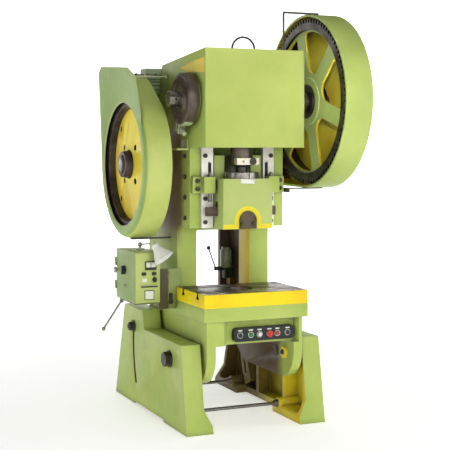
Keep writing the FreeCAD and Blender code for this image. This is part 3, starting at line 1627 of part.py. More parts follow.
def shank_clamp_nuts():
    nuts = []
    front = d.slide_front - d.clamp_proud
    for way in (-1, 1):
        place = (way * d.stud_x, front, d.slide_floor + d.stud_rise)
        nuts.append(bolt("Y", place, d.stud_radius, 29, d.stud_radius * 1.8, -1))
    name_node(group(nuts), "shank_clamp_nuts")


def knockout_bar():
    name_node(block(-d.bar_reach, d.bar_reach, d.bar_line - d.bar_depth / 2,
                    d.bar_line + d.bar_depth / 2, d.bar_floor, d.bar_floor + d.bar_height),
              "knockout_bar")


crankshaft()
brake_drum()
brake_band()
brake_spring_bolt()
brake_anchor()
connecting_rod()
rod_clamp()
ball_screw()
ball_seat()
ring_nut()
slide()
shank_clamp()
shank_clamp_nuts()
knockout_bar()


# ---------------------------------------------------------------------------------------
# Drive: gear, drive shaft with its pinion, flywheel, belts and motor


def tooth_outline(teeth, centre_angle):
    """Corners (y, z) round a gear with involute flanks, the first tooth at an angle."""
    module = float(d.gear_module)
    teeth = int(float(teeth))
    pressure = math.radians(20)
    pitch = module * teeth / 2
    base = pitch * math.cos(pressure)
    tip = pitch + module
    foot = pitch - 1.25 * module
    half_tooth = math.pi / (2 * teeth) - float(d.tooth_backlash) / (4 * pitch)
    half_tooth += math.tan(pressure) - pressure
    flank = [max(foot, base), (max(foot, base) + pitch) / 2, pitch, (pitch + tip) / 2, tip]
    corners = []
    for number in range(teeth):
        middle_angle = math.radians(centre_angle) + 2 * math.pi * number / teeth
        tooth = []
        for radius in flank:
            roll = math.acos(base / radius)
            half = half_tooth - (math.tan(roll) - roll)
            tooth.append((radius, half))
        if foot < base:
            tooth.insert(0, (foot, half_tooth))
        for radius, half in tooth:
            corners.append((radius, middle_angle - half))
        for radius, half in reversed(tooth):
            corners.append((radius, middle_angle + half))
    return [(radius * math.cos(angle), radius * math.sin(angle)) for radius, angle in corners]


def toothed_bar(name, teeth, centre_angle, low, high, line, level):
    """A straight bar with the gear's outline, from low to high along X."""
    corners = [Vector(float(low), line + across, level + up)
               for across, up in tooth_outline(teeth, centre_angle)]
    face = Part.Face(Part.makePolygon(corners + corners[:1]))
    thing = doc.addObject("Part::Feature", name)
    thing.Shape = face.extrude(Vector(float(high - low), 0, 0))
    return thing


def mesh_angle():
    """Direction from the crank line to the drive line, seen from the right."""
    return math.degrees(math.atan2(float(drive_level - d.crank_level),
                                   float(d.drive_line - d.crank_line)))


def gear():
    """Spoked gear that turns on the crankshaft's seat until the clutch takes hold."""
    blank = Piece("gear_blank", (0, d.crank_line, d.crank_level), kept=False)
    low = d.gear_start
    high = d.gear_start + d.gear_width
    web_low = d.gear_start + (d.gear_width - d.gear_web) / 2
    web_high = web_low + d.gear_web
    tip = d.gear_module * (d.gear_teeth + 2) / 2 + 2
    bore = d.gear_seat + d.shaft_gap
    profile = [(low - d.hub_stand, bore), (high, bore), (high, d.gear_hub),
               (web_high, d.gear_hub), (web_high, d.gear_rim), (high, d.gear_rim), (high, tip),
               (low, tip), (low, d.gear_rim), (web_low, d.gear_rim), (web_low, d.gear_hub + 50),
               (web_low - 8, d.gear_hub + 50), (web_low - 8, d.gear_hub),
               (low - d.hub_stand, d.gear_hub)]
    blank.turn([profile])
    near = d.window_inner
    far = d.window_outer
    half = d.window_half
    corners = [(near * cosine(half) + 8, -near * sine(half) - 6),
               (far * cosine(half) - 8, -far * sine(half) + 12),
               (far * cosine(half - 4), -far * sine(half - 4), 30),
               (far * cosine(half - 4), far * sine(half - 4), far),
               (far * cosine(half) - 8, far * sine(half) - 12, 30),
               (near * cosine(half) + 8, near * sine(half) + 6),
               (near * cosine(half) - 8, near * sine(half) - 8, 30),
               (near * cosine(half) - 8, -near * sine(half) + 8, -near)]
    corners[0] = corners[0] + (sized(30),)
    turn = d.window_angle
    turned = [(corner[0] * cosine(turn) - corner[1] * sine(turn),
               corner[0] * sine(turn) + corner[1] * cosine(turn)) + tuple(corner[2:])
              for corner in corners]
    first = blank.pocket("YZ", [turned], web_low - 10, web_high + 1)
    blank.repeat(first, d.gear_spokes)
    teeth = toothed_bar("gear_teeth_bar", d.gear_teeth, mesh_angle(), low - d.hub_stand - 5,
                        high + 5, float(d.crank_line), float(d.crank_level))
    wheel = doc.addObject("Part::MultiCommon", "gear_wheel")
    wheel.Shapes = [blank.body, teeth]
    name_node(wheel, "gear")


def drive_shaft():
    """Pinion and shaft in one piece, square to the press."""
    shaft = Piece("shaft_blank", (0, d.drive_line, drive_level), kept=False)
    ends = [(-d.shaft_left_end, sized(0)), (d.shaft_right_end, sized(0)),
            (d.shaft_right_end, d.wheel_seat), (d.gear_start - 30, d.wheel_seat),
            (d.gear_start - 30, d.drive_journal), (d.drive_journal_start, d.drive_journal),
            (d.drive_journal_start, d.shaft_middle), (-d.drive_journal_start, d.shaft_middle),
            (-d.drive_journal_start, d.drive_journal), (-d.hub_inner, d.drive_journal),
            (-d.hub_inner, d.wheel_seat), (-d.hub_outer + 3, d.wheel_seat),
            (-d.hub_outer + 3, d.shaft_thread), (-d.shaft_left_end, d.shaft_thread)]
    shaft.turn([ends])
    gap = 180 / float(d.pinion_teeth)
    pinion = toothed_bar("pinion_bar", d.pinion_teeth, mesh_angle() + 180 + gap, d.gear_start,
                         d.gear_start + d.gear_width + 6, float(d.drive_line),
                         float(drive_level))
    name_node(fuse(shaft.body, pinion), "drive_shaft")


def groove_corners(radius, middle_x, top, bottom, depth):
    """One vee groove for a belt, seen in section."""
    return [(middle_x - top / 2, radius + 2), (middle_x - top / 2, radius),
            (middle_x - bottom / 2, radius - depth), (middle_x + bottom / 2, radius - depth),
            (middle_x + top / 2, radius), (middle_x + top / 2, radius + 2)]


def belt_places():
    """X of each belt's middle."""
    centre = -d.flywheel_start - d.flywheel_width / 2
    return [centre + d.belt_pitch * (number - 1.5) for number in range(4)]


def grooves(radius):
    return [groove_corners(radius, place, d.belt_top + 2.4, d.belt_bottom + 1.6,
                           d.belt_depth + 3) for place in belt_places()]


def flywheel():
    piece = Piece("flywheel", (0, d.drive_line, drive_level))
    low = -d.flywheel_start - d.flywheel_width
    high = -d.flywheel_start
    web_low = (low + high) / 2 - d.wheel_web / 2
    web_high = web_low + d.wheel_web
    bore = d.wheel_seat + d.shaft_gap
    outer = d.flywheel_radius
    rim = d.wheel_rim
    profile = [(-d.hub_outer, bore), (-d.hub_inner - 2, bore), (-d.hub_inner - 2, d.wheel_hub),
               (web_high, d.wheel_hub + 8), (web_high, rim), (high, rim + 6), (high, outer - 2),
               (high - 2, outer), (low + 2, outer), (low, outer - 2), (low, rim + 6),
               (web_low, rim), (web_low, d.wheel_hub + 8), (-d.hub_outer, d.wheel_hub)]
    piece.turn([profile])
    for groove in grooves(outer):
        piece.groove([groove])
    for reach, start in ((d.hole_ring, 45), (d.outer_hole_ring, 45)):
        place = ("circle", reach * cosine(start), reach * sine(start), d.wheel_hole)
        first = piece.pocket("YZ", [place], web_low - 1, web_high + 1)
        piece.repeat(first, 4)


def flywheel_nut():
    nut = hexagon("X", (-d.hub_outer - 0.3 - d.nut_length, d.drive_line, drive_level), 62,
                  d.nut_length)
    hole = rod("X", (-d.hub_outer - 1 - d.nut_length, d.drive_line, drive_level),
               d.shaft_thread + 0.1, d.nut_length + 2)
    name_node(cut(nut, hole), "flywheel_nut")


def gear_retainer():
    """Collar on the crankshaft's end that keeps the gear from walking off."""
    start = d.gear_start + d.gear_width + 0.5
    name_node(tube("X", (start, d.crank_line, d.crank_level), 84, d.shaft_end + 0.05, 16),
              "gear_retainer")


def motor_pulley():
    """Grooved pulley in one piece with the motor's shaft."""
    piece = Piece("motor_pulley", (0, d.motor_line, d.motor_level))
    low = -d.flywheel_start - d.flywheel_width
    high = -d.flywheel_start
    outer = d.pulley_radius
    profile = [(low, sized(0)), (-d.motor_end + 60, sized(0)), (-d.motor_end + 60, sized(19)),
               (high, sized(19)), (high, outer), (low, outer), (low, outer - 22),
               (low + 30, outer - 26), (low + 30, sized(40)), (low, sized(40))]
    piece.turn([profile])
    for groove in grooves(outer):
        piece.groove([groove])


def tangent_points(radius, small, across, up, distance, way):
    """Where a straight belt run leaves the large wheel and meets the small one, both
    from the large wheel's axis. way is +1 for the run on the anticlockwise side."""
    lean = (radius - small) / distance
    slope = root(1 - lean ** 2)
    ahead = (across / distance, up / distance)
    normal = (ahead[0] * lean - way * ahead[1] * slope, ahead[1] * lean + way * ahead[0] * slope)
    far = (across + normal[0] * small, up + normal[1] * small)
    return (normal[0] * radius, normal[1] * radius), far


def v_belts():
    """Four vee belts, each a section carried round both wheels."""
    across = d.motor_line - d.drive_line
    up = d.motor_level - drive_level
    distance = root(across ** 2 + up ** 2)
    large = d.flywheel_radius - d.belt_sink
    small = d.pulley_radius - d.belt_sink
    lower, lower_far = tangent_points(large, small, across, up, distance, -1)
    upper, upper_far = tangent_points(large, small, across, up, distance, 1)
    belts = []
    for number, place in enumerate(belt_places()):
        body = Piece(f"belt_{number + 1}", (0, d.drive_line, drive_level), kept=False)
        path = body.sketch("YZ", [[(sized(0), -large, large), lower + (large,), lower_far,
                                   upper_far + (small,), upper]], place)
        section = [(place - d.belt_top / 2, -large), (place - d.belt_bottom / 2,
                   d.belt_depth - large), (place + d.belt_bottom / 2, d.belt_depth - large),
                   (place + d.belt_top / 2, -large)]
        profile = body.sketch("XZ", [section], 0)
        pipe = body.feature("AdditivePipe", profile)
        pipe.Spine = (path, [f"Edge{edge}" for edge in range(1, 6)])
        belts.append(body.body)
    name_node(group(belts), "v_belts")


def motor():
    """Ribbed motor body with its feet and terminal box."""
    piece = Piece("motor", (0, d.motor_line, d.motor_level))
    start = -d.motor_end
    end = -d.motor_start
    radius = d.motor_radius
    profile = [(start, sized(20)), (start, sized(46)), (start + 10, sized(46)),
               (start + 16, radius - 10), (start + 22, radius), (start + 60, radius),
               (start + 60, radius - 14), (end - 50, radius - 14), (end - 50, radius),
               (end - 14, radius), (end, radius - 18), (end, sized(0)), (start + 66, sized(0)),
               (start + 66, sized(20))]
    piece.turn([profile])
    fin = [(radius - 20, -1.6), (radius - 2, -1.6), (radius - 2, sized(1.6)),
           (radius - 20, sized(1.6))]
    first = piece.pad("YZ", [fin], start + 58, end - 48)
    piece.repeat(first, d.motor_fins)
    foot_low = -d.motor_foot
    foot = [(-d.motor_foot_half, foot_low), (d.motor_foot_half, foot_low),
            (d.motor_foot_half, foot_low + 16), (d.motor_foot_half - 30, foot_low + 16),
            (radius * 0.55, -radius * 0.7), (-radius * 0.55, -radius * 0.7),
            (30 - d.motor_foot_half, foot_low + 16), (-d.motor_foot_half, foot_low + 16)]
    for low in (start + 70, end - 110):
        piece.pad("YZ", [foot], low, low + 50)
    box = [(sized(-62), radius - 30), (sized(62), radius - 30), (sized(62), radius + 50),
           (sized(-62), radius + 50)]
    piece.pad("YZ", [box], start + 90, start + 210)


def motor_base():
    """Plate with slots along which the motor is drawn back to tighten the belts."""
    low = d.shelf_level + d.seat_gap
    high = d.motor_level - d.motor_foot - d.seat_gap
    piece = Piece("motor_base")
    front = d.hood_rear + 14
    rear = d.motor_line + d.motor_foot_half + 8
    piece.pad("XY", [rectangle(-d.motor_end + 56, 46 - d.motor_start, front, rear)],
              high - 20, high)
    for side_low in (-d.motor_end + 66, -d.motor_start - 10):
        piece.pad("XY", [rectangle(side_low, side_low + 40, front + 10, d.frame_rear - 4)],
                  low, high - 19)


gear()
drive_shaft()
flywheel()
flywheel_nut()
gear_retainer()
motor_pulley()
v_belts()
motor()
motor_base()


# ---------------------------------------------------------------------------------------
# Guards of the gear and the flywheel, and what carries them


def around_both(large, small, across, up):
    """The outline round a large circle at the origin and a small one beside it."""
    distance = root(across ** 2 + up ** 2)
    lower, lower_far = tangent_points(large, small, across, up, distance, -1)
    upper, upper_far = tangent_points(large, small, across, up, distance, 1)
    start = (-across / distance * large, -up / distance * large, large)
    return [start, lower + (large,), lower_far, upper_far + (small,), upper]


def gear_guard():
    """A dish over the gear and its pinion, open towards the frame, with a rolled lip."""
    piece = Piece("gear_guard", (0, d.crank_line, d.crank_level))
    across = d.drive_line - d.crank_line
    up = drive_level - d.crank_level
    small = d.pinion_guard_radius
    outer = around_both(d.gear_guard_radius, small, across, up)
    inner = around_both(d.gear_guard_radius - d.guard_sheet, small - d.guard_sheet, across, up)
    lip = around_both(d.gear_guard_radius - d.guard_lip, small - d.guard_lip, across, up)
    piece.pad("YZ", [outer], d.gear_guard_start, d.gear_guard_end)
    piece.pocket("YZ", [inner], d.gear_guard_start + d.guard_sheet,
                 d.gear_guard_end - d.guard_sheet)
    piece.pocket("YZ", [lip], d.gear_guard_start - 1, d.gear_guard_start + d.guard_sheet + 1)


def flywheel_guard():
    """A dish over flywheel and belts, with a large round opening before the wheel."""
    piece = Piece("flywheel_guard", (0, d.drive_line, drive_level))
    reach = d.wheel_guard_radius
    slope = sine(45)
    outline = [(reach, sized(0), reach), (d.belt_guard_rear, d.belt_guard_shoulder),
               (d.belt_guard_rear - 85, d.belt_guard_shoulder + 70),
               (sized(-42), d.belt_guard_shoulder + 35), (sized(-155), d.belt_guard_shoulder - 45),
               (-reach * slope, reach * slope), (sized(0), -reach, reach)]
    inside = 1 - d.guard_sheet / reach
    hollow = [tuple(number * inside for number in corner) for corner in outline]
    piece.pad("YZ", [outline], -d.wheel_guard_end, -d.wheel_guard_start)
    piece.pocket("YZ", [hollow], -d.wheel_guard_end + d.guard_sheet, 1 - d.wheel_guard_start)
    piece.pocket("YZ", [("circle", sized(0), sized(0), d.wheel_opening)],
                 -d.wheel_guard_end - 1, -d.wheel_guard_end + d.guard_sheet + 1)


def guard_brackets():
    """A bent rod and a flat bar hold the gear guard, two flat bars the flywheel guard."""
    rod_line = d.crank_line - 22
    rod_top = d.crank_level + d.gear_guard_radius + d.guard_rod + d.seat_gap
    upright = rod("Z", (d.guard_rod_x, rod_line, d.guard_rod_foot), d.guard_rod,
                  rod_top - d.guard_rod_foot)
    flange = rod("Z", (d.guard_rod_x, rod_line, d.guard_rod_foot), d.guard_rod * 2.2, 12)
    elbow = ball((d.guard_rod_x, rod_line, rod_top), d.guard_rod)
    middle_x = (d.gear_guard_start + d.gear_guard_end) / 2
    arm = rod("X", (d.guard_rod_x, rod_line, rod_top), d.guard_rod, middle_x - d.guard_rod_x)
    low = d.crank_level - d.gear_guard_radius - d.seat_gap
    near = d.frame_half + d.seat_gap
    half = d.bar_width / 2
    under = block(near, d.gear_guard_end - d.bar_inset, d.crank_line - half + 5,
                  d.crank_line + half - 5, low - 8, low)
    tab = block(near, d.frame_half + 8, d.crank_line - half + 5, d.guide_front + d.bar_width,
                low - 30, low)
    top = drive_level + d.belt_guard_shoulder + d.over_rise
    over = block(d.over_inset - d.wheel_guard_end, -d.head_half - d.seat_gap,
                 d.drive_line + half, d.drive_line + half + d.bar_width, top, top + 10)
    floor = drive_level - d.wheel_guard_radius - d.seat_gap
    beneath = block(d.bar_inset - d.wheel_guard_end, -near, d.drive_line - d.bar_width,
                    d.drive_line, floor - 10, floor)
    name_node(group([fuse(upright, flange, elbow, arm), fuse(under, tab), over, beneath]),
              "guard_brackets")


gear_guard()
flywheel_guard()
guard_brackets()


# ---------------------------------------------------------------------------------------
# Electrics, controls, worklight and lubricator


def control_box():
    """Folded sheet box. Its door hangs on the pins of two hinges at the rear corner."""
    piece = Piece("control_box")
    low = d.box_outer - d.door_sheet - 0.7
    outline = rounded_box(d.box_front, d.box_rear, d.box_floor, d.box_top, d.box_corner)
    piece.pad("YZ", [outline], -low, -d.box_inner)
    piece.shell(d.box_sheet, lambda face: face.CenterOfMass.x < -float(low) + 1)
    door = Piece("control_box_door")
    door.pad("YZ", [outline], -d.box_outer, -d.box_outer + d.door_sheet)
    line = -d.box_outer - d.hinge_out
    back = d.box_rear + d.hinge_back
    leaf = [(line, back - d.hinge_pin), (1 - low, back - d.hinge_pin), (1 - low, d.box_rear - 1),
            (line + d.hinge_leaf, d.box_rear - 1), (line + d.hinge_leaf, back + 0.5),
            (line, back + 0.5)]
    flap = rectangle(line + d.hinge_out - 3, line + d.hinge_out + 1, back - d.hinge_leaf, back)
    for rise in (d.hinge_low, d.hinge_high):
        level = d.box_floor + rise
        piece.pad("XY", [("circle", line, back, d.hinge_barrel)], level, level + d.hinge_length)
        piece.pad("XY", [leaf], level, level + d.hinge_length)
        piece.pad("XY", [("circle", line, back, d.hinge_pin)], level + 5,
                  level + d.hinge_length * 2)
        start = level + d.hinge_length + d.seat_gap
        end = start + d.hinge_length
        door.pad("XY", [("circle", line, back, d.hinge_barrel)], start, end)
        door.pad("XY", [flap], start, end)
        door.pocket("XY", [("circle", line, back, d.hinge_pin + d.shaft_gap)], start - 1,
                    end + 1)


def box_bracket():
    """Angle iron: a plate square to the frame's side, a shelf under the box, and an ear
    for the hand lever."""
    low = d.box_floor - d.seat_gap
    rear = d.box_rear - d.lever_setback
    thick = d.bracket_sheet
    plate = block(-d.box_inner + 0.5, -d.frame_half - d.seat_gap, d.bracket_line,
                  d.bracket_line + thick * 2, d.bracket_foot, d.bracket_top)
    shelf = block(thick - d.box_outer, -d.box_inner + 1, d.bracket_line, rear, low - thick, low)
    ear = block(-d.lever_x - thick, -d.lever_x + thick, rear - thick, rear,
                d.lever_level - thick, low)
    hole = rod("Y", (-d.lever_x, rear - thick - 1, d.lever_level), d.lever_pin + d.shaft_gap,
               thick + 2)
    name_node(cut(fuse(plate, shelf, ear), hole), "box_bracket")


def hand_lever():
    rear = d.box_rear - d.lever_setback
    hub_radius = d.lever_bar * 2
    pin = rod("Y", (-d.lever_x, rear - d.bracket_sheet - 2, d.lever_level), d.lever_pin,
              d.bracket_sheet + 8)
    hub = rod("Y", (-d.lever_x, rear + d.seat_gap, d.lever_level), hub_radius, 18)
    line = rear + d.seat_gap + 9
    tip = (-d.lever_x - d.lever_out, line, d.lever_level - d.lever_down)
    arm = knobbed_bar((-d.lever_x, line, d.lever_level), tip, d.lever_bar, d.lever_ball)
    name_node(fuse(pin, hub, arm), "hand_lever")


def box_instruments():
    """Meter, two small switch housings and a bare plate on the front of the box."""
    front = d.box_front
    left = -d.box_outer

    def flat(across, width, low, height, proud):
        """A low block on the box's front."""
        return block(left + across, left + across + width, front - proud, front, low,
                     low + height)

    low = d.box_top - d.meter_drop
    rim = d.meter_frame
    meter = flat(d.meter_left, d.meter_width, low, d.meter_height, d.meter_proud)
    glass = block(left + d.meter_left + rim, left + d.meter_left + d.meter_width - rim,
                  front - d.meter_proud - 1, front - d.meter_proud + 3, low + rim,
                  low + d.meter_height - rim)
    switches = [flat(across, d.small_width, d.box_floor + d.small_level, d.small_height,
                     d.small_proud) for across in (d.small_left, d.small_right)]
    plate = flat(d.plate_left, d.plate_width, d.box_floor + d.plate_level, d.plate_height, 2)
    name_node(group([cut(meter, glass), *switches, plate]), "box_instruments")


def knob(name, axis, at, radius, length, towards):
    """A round knob with a grip bar across its face."""
    shift = {"X": 0, "Y": 1}[axis]
    base_at = list(at)
    grip_low = [at[0] - radius * 0.25, at[1] - radius * 0.25, at[2] - radius * 1.2]
    grip_high = [at[0] + radius * 0.25, at[1] + radius * 0.25, at[2] + radius * 1.2]
    if towards < 0:
        base_at[shift] = at[shift] - length * 0.5
        grip_low[shift] = at[shift] - length
    grip_high[shift] = grip_low[shift] + length
    base = rod(axis, base_at, radius, length * 0.5)
    grip = block(grip_low[0], grip_high[0], grip_low[1], grip_high[1], grip_low[2],
                 grip_high[2])
    name_node(fuse(base, grip), name)


BUTTONS = {  # share of the panel's length from its left end, and radius of the cap
    "left_hand_button": (0.099, 13),
    "start_button": (0.2735, 12),
    "inch_button": (0.4185, 12),
    "stop_button": (0.579, 12),
    "reset_button": (0.7125, 12),
    "right_hand_button": (0.883, 13),
}


def button_line(share):
    return d.panel_left + d.panel_length * share


def button_panel():
    """Rounded housing on the apron. Each button slides in a collar."""
    piece = Piece("button_panel")
    back = d.apron_line - d.seat_gap
    front = d.apron_line - d.panel_depth
    outline = rounded_box(d.panel_left, d.panel_right, d.panel_floor, d.panel_top,
                          d.panel_corner)
    piece.pad("XZ", [outline], front, back)
    collars = []
    for place, radius in BUTTONS.values():
        collars.append(("circle", button_line(place), d.button_level, radius + d.collar_wall))
    piece.pad("XZ", collars, front - d.collar_height, front + 1)
    collars = [("circle", button_line(place), d.button_level, radius + 0.5)
               for place, radius in BUTTONS.values()]
    piece.pocket("XZ", collars, front - d.collar_height - 1, front + 0.1)
    holes = [("circle", button_line(place), d.button_level, d.button_stem + 0.4)
             for place, radius in BUTTONS.values()]
    piece.pocket("XZ", holes, front - 1, front + d.button_depth)
    reach = float(d.button_rise) / 2
    piece.round(d.panel_edge, lambda edge: edge.BoundBox.YMax < float(front) + 0.1
                and edge.BoundBox.YMin > float(front) - 0.1
                and abs(middle(edge).z - float(d.button_level)) > reach)


def buttons():
    front = d.apron_line - d.panel_depth
    for name, (share, radius) in BUTTONS.items():
        place = button_line(share)
        start = front - d.collar_height - 2
        stem = rod("Y", (place, start, d.button_level), d.button_stem,
                   d.collar_height + d.button_depth - 4)
        cap = rod("Y", (place, start, d.button_level), radius, d.collar_height - 2.5)
        parts = [stem, cap]
        if name == "stop_button":
            parts.append(rod("Y", (place, start - 8, d.button_level), 22, 5.5))
            parts.append(rod("Y", (place, start - 3, d.button_level), 10, 4))
        name_node(fuse(*parts), name)


def worklight():
    """Arm on the box's top, and a shade with its lamp, pinned to the arm's end."""
    aim = Vector(-0.45, 0.45, 0.77).normalize()
    across = Rotation(Vector(0, 0, 1), Vector(1, 1, 0))
    rim = (d.shade_x, d.shade_y, d.shade_z)
    pivot = tuple(number + d.shade_neck * part for number, part in zip(rim, aim))

    def beside(distance):
        """A point on the pin's line, which runs level and square to the lamp's axis."""
        step = sized(distance) * math.sqrt(0.5)
        return (pivot[0] + step, pivot[1] + step, pivot[2])

    foot = (d.light_x, d.light_y, d.box_top + d.seat_gap)
    elbow = (d.light_x, d.light_y, d.light_elbow)
    arm = fuse(rod("Z", foot, 24, 9), rod("Z", foot, 9, d.light_elbow - d.box_top),
               ball(elbow, 16), strut(elbow, beside(11.5), 5),
               rod(across, beside(5.3), 9, 5.5), rod(across, beside(-9), d.shade_pin, 16),
               rod(across, beside(-9), 6, 3.6))
    name_node(arm, "worklight_arm")
    shade = Piece("shade_blank", kept=False)
    shade.body.Placement = Placement(Vector(), Rotation(Vector(0, 0, 1), aim))
    for letter, number in zip("xyz", rim):
        bind(shade.body, f"Placement.Base.{letter}", number)
    tall = d.shade_length
    wide = d.shade_radius
    profile = [(sized(0), tall), (sized(0), tall * 0.55), (wide * 0.22, tall * 0.43),
               (wide * 0.22, tall * 0.73), (wide * 0.33, tall * 0.73), (wide - 2, sized(0)),
               (wide, sized(0)), (wide * 0.375, tall * 0.76), (wide * 0.305, tall)]
    shade.turn([profile], "Z")
    neck_end = d.shade_neck - 4
    shade.turn([[(sized(0), tall - 2), (sized(5), tall - 2), (sized(5), neck_end),
                 (sized(0), neck_end)]], "Z")
    eye = rod(across, beside(-5), 9, 10)
    hole = rod(across, beside(-6), d.shade_pin + d.shaft_gap, 12)
    whole = fuse(shade.body, eye)
    whole.Refine = False
    name_node(cut(whole, hole), "worklight_head")


def lubricator():
    """Hand pump with its reservoir on the inner side of the right upright."""
    wall = frame_inner - d.seat_gap
    line = d.pump_line
    foot = d.pump_floor
    base = block(wall - d.pump_base, wall, line - d.pump_half, line + d.pump_half, foot,
                 foot + d.pump_base_height)
    body = block(wall - d.pump_block, wall, line - d.pump_block_half, line + d.pump_block_half,
                 foot + d.pump_base_height - 10, foot + d.pump_block_height)
    tank_foot = foot + d.pump_block_height - 10
    tank = rod("Z", (wall - d.tank_line, line, tank_foot), d.tank_radius, d.tank_height)
    cap = rod("Z", (wall - d.tank_line, line, tank_foot + d.tank_height - 1), d.cap_radius,
              d.cap_height)
    eye = d.pump_pin * 2.8
    ear = block(d.pump_lever_x - eye, wall - d.pump_block + 10, line - eye / 2, line + eye / 2,
                d.pump_lever_level - eye, d.pump_lever_level + eye)
    hole = rod("Y", (d.pump_lever_x, line - eye, d.pump_lever_level), d.pump_pin + d.shaft_gap,
               eye * 2)
    name_node(cut(fuse(base, body, tank, cap, ear), hole), "lubricator_pump")
    start = line + eye / 2 + d.seat_gap
    pin = rod("Y", (d.pump_lever_x, line - eye / 2 - 1, d.pump_lever_level), d.pump_pin,
              eye + 8)
    hub = rod("Y", (d.pump_lever_x, start, d.pump_lever_level), d.pump_pin * 2.2, 18)
    tip = (d.pump_lever_x - d.pump_lever_out, start + 9, d.pump_lever_level + d.pump_lever_up)
    arm = knobbed_bar((d.pump_lever_x, start + 9, d.pump_lever_level), tip, d.pump_pin,
                      d.pump_pin * 3)
    name_node(fuse(pin, hub, arm), "pump_lever")


def conduit_loop():
    """Cable conduit that leaves the head's top and goes back in."""
    level = d.conduit_level
    turn = Rotation(Vector(1, 0, 0), 90)
    loop = primitive("Torus", (d.conduit_x, d.conduit_line, level), turn,
                     Radius1=d.conduit_bend, Radius2=d.conduit_radius, Angle3=180)
    parts = [loop]
    for way in (-1, 1):
        place = (d.conduit_x + way * d.conduit_bend, d.conduit_line, level - 8)
        parts.append(hexagon("Z", place, d.conduit_radius * 1.8, 12))
    name_node(fuse(*parts), "conduit_loop")


control_box()
box_bracket()
hand_lever()
box_instruments()
knob("main_switch", "X", (-d.box_outer - d.seat_gap, d.box_front + d.switch_line,
                          d.box_floor + d.switch_level), d.switch_radius, 26, -1)
knob("selector_switch", "Y", (-d.box_outer + d.selector_line, d.box_front,
                              d.box_floor + d.selector_level), d.selector_radius, 18, -1)
button_panel()
buttons()
worklight()
lubricator()
conduit_loop()


# ---------------------------------------------------------------------------------------
# Checks and files


def write_parts():
    doc.recompute()
    for thing in doc.Objects:
        if "Invalid" in thing.State or "Error" in thing.State:
            raise ValueError(f"{thing.Label} failed: {thing.State}")
    os.makedirs("parts", exist_ok=True)
    total = 0
    for node in nodes:
        shape = node.Shape
        if shape.isNull() or not shape.isValid():
            raise ValueError(f"{node.Label} has no valid shape")
        shape.exportStep(f"parts/{node.Label}.step")
        total += shape.Volume
        print(f"{node.Label}: {len(shape.Solids)} solids, {shape.Volume / 1000:.0f} cm3")
    print(f"{len(nodes)} nodes, {total / 1e9:.3f} cubic metres")


write_parts()
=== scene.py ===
import math

import bmesh
import bpy
from mathutils import Matrix, Vector
from mathutils.geometry import convex_hull_2d


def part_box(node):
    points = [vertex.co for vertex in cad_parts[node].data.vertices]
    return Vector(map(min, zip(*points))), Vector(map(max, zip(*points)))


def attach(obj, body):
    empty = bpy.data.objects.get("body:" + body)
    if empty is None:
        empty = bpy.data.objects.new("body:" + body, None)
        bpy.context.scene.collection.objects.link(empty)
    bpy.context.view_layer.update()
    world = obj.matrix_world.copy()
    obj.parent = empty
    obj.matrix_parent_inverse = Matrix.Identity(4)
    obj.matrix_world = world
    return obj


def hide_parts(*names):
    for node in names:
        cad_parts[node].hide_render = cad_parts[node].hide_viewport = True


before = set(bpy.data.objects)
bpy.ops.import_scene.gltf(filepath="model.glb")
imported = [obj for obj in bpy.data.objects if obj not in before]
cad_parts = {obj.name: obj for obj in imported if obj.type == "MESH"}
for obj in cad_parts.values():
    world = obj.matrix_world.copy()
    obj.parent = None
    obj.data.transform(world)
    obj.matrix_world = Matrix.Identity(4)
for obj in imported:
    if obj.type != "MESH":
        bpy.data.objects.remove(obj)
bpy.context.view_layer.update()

# ----------------------------------------
# The studio: a pale seamless floor that sweeps up into a low wall all round, and broad
# soft lamps. The camera stands to the left of the press's front, level with the slide, as
# it does in the photograph.

STUDIO = bpy.context.scene
STUDIO.view_settings.view_transform = "Standard"


def linear(hex_colour):
    """An sRGB hex colour as Blender's linear red, green, blue and alpha."""
    parts = [int(hex_colour[at:at + 2], 16) / 255 for at in (1, 3, 5)]
    return [part / 12.92 if part <= 0.04045 else ((part + 0.055) / 1.055) ** 2.4
            for part in parts] + [1.0]


def feed(node, **values):
    """Set a node's settings, whose names start small, and set its inputs or link them to
    a socket or to a node's first output in use. A name that ends in a number, such as
    Value_1, is the input of that index."""
    for name, value in values.items():
        if name[0].islower():
            setattr(node, name, value)
            continue
        if name[-1].isdigit():
            socket = node.inputs[int(name.rsplit("_", 1)[1])]
        else:
            socket = next(entry for entry in node.inputs
                          if entry.enabled and entry.name == name.replace("_", " "))
        if isinstance(value, bpy.types.Node):
            value = next(out for out in value.outputs if out.enabled)
        if isinstance(value, bpy.types.NodeSocket):
            node.id_data.links.new(value, socket)
        else:
            socket.default_value = value


def add(tree, kind, **values):
    """A node of a kind, with its settings and its inputs."""
    node = tree.nodes.new(kind)
    feed(node, **values)
    return node


def finish_of(name):
    """A new material: its node tree, its glossy surface shader and the place on the
    press, in metres, that its patterns are drawn at."""
    material = bpy.data.materials.new(name)
    material.use_nodes = True
    tree = material.node_tree
    place = add(tree, "ShaderNodeTexCoord").outputs["Object"]
    return material, tree, tree.nodes["Principled BSDF"], place


def built(name, shape, finishes, sharp=None):
    """An object of a bmesh, with its finishes, and sharp edges from an angle in degrees."""
    mesh = bpy.data.meshes.new(name)
    shape.to_mesh(mesh)
    shape.free()
    if sharp:
        mesh.set_sharp_from_angle(angle=math.radians(sharp))
    for finish in finishes:
        mesh.materials.append(finish)
    piece = bpy.data.objects.new(name, mesh)
    STUDIO.collection.objects.link(piece)
    return piece


def round_angles(count):
    """The angles of a number of even steps round a circle."""
    return [2 * math.pi * step / count for step in range(count)]


def skin_between(shape, rings):
    """Faces from each ring of points to the next ring."""
    for ring, after in zip(rings, rings[1:]):
        for step, corner in enumerate(ring):
            nxt = (step + 1) % len(ring)
            shape.faces.new((corner, ring[nxt], after[nxt], after[step]))


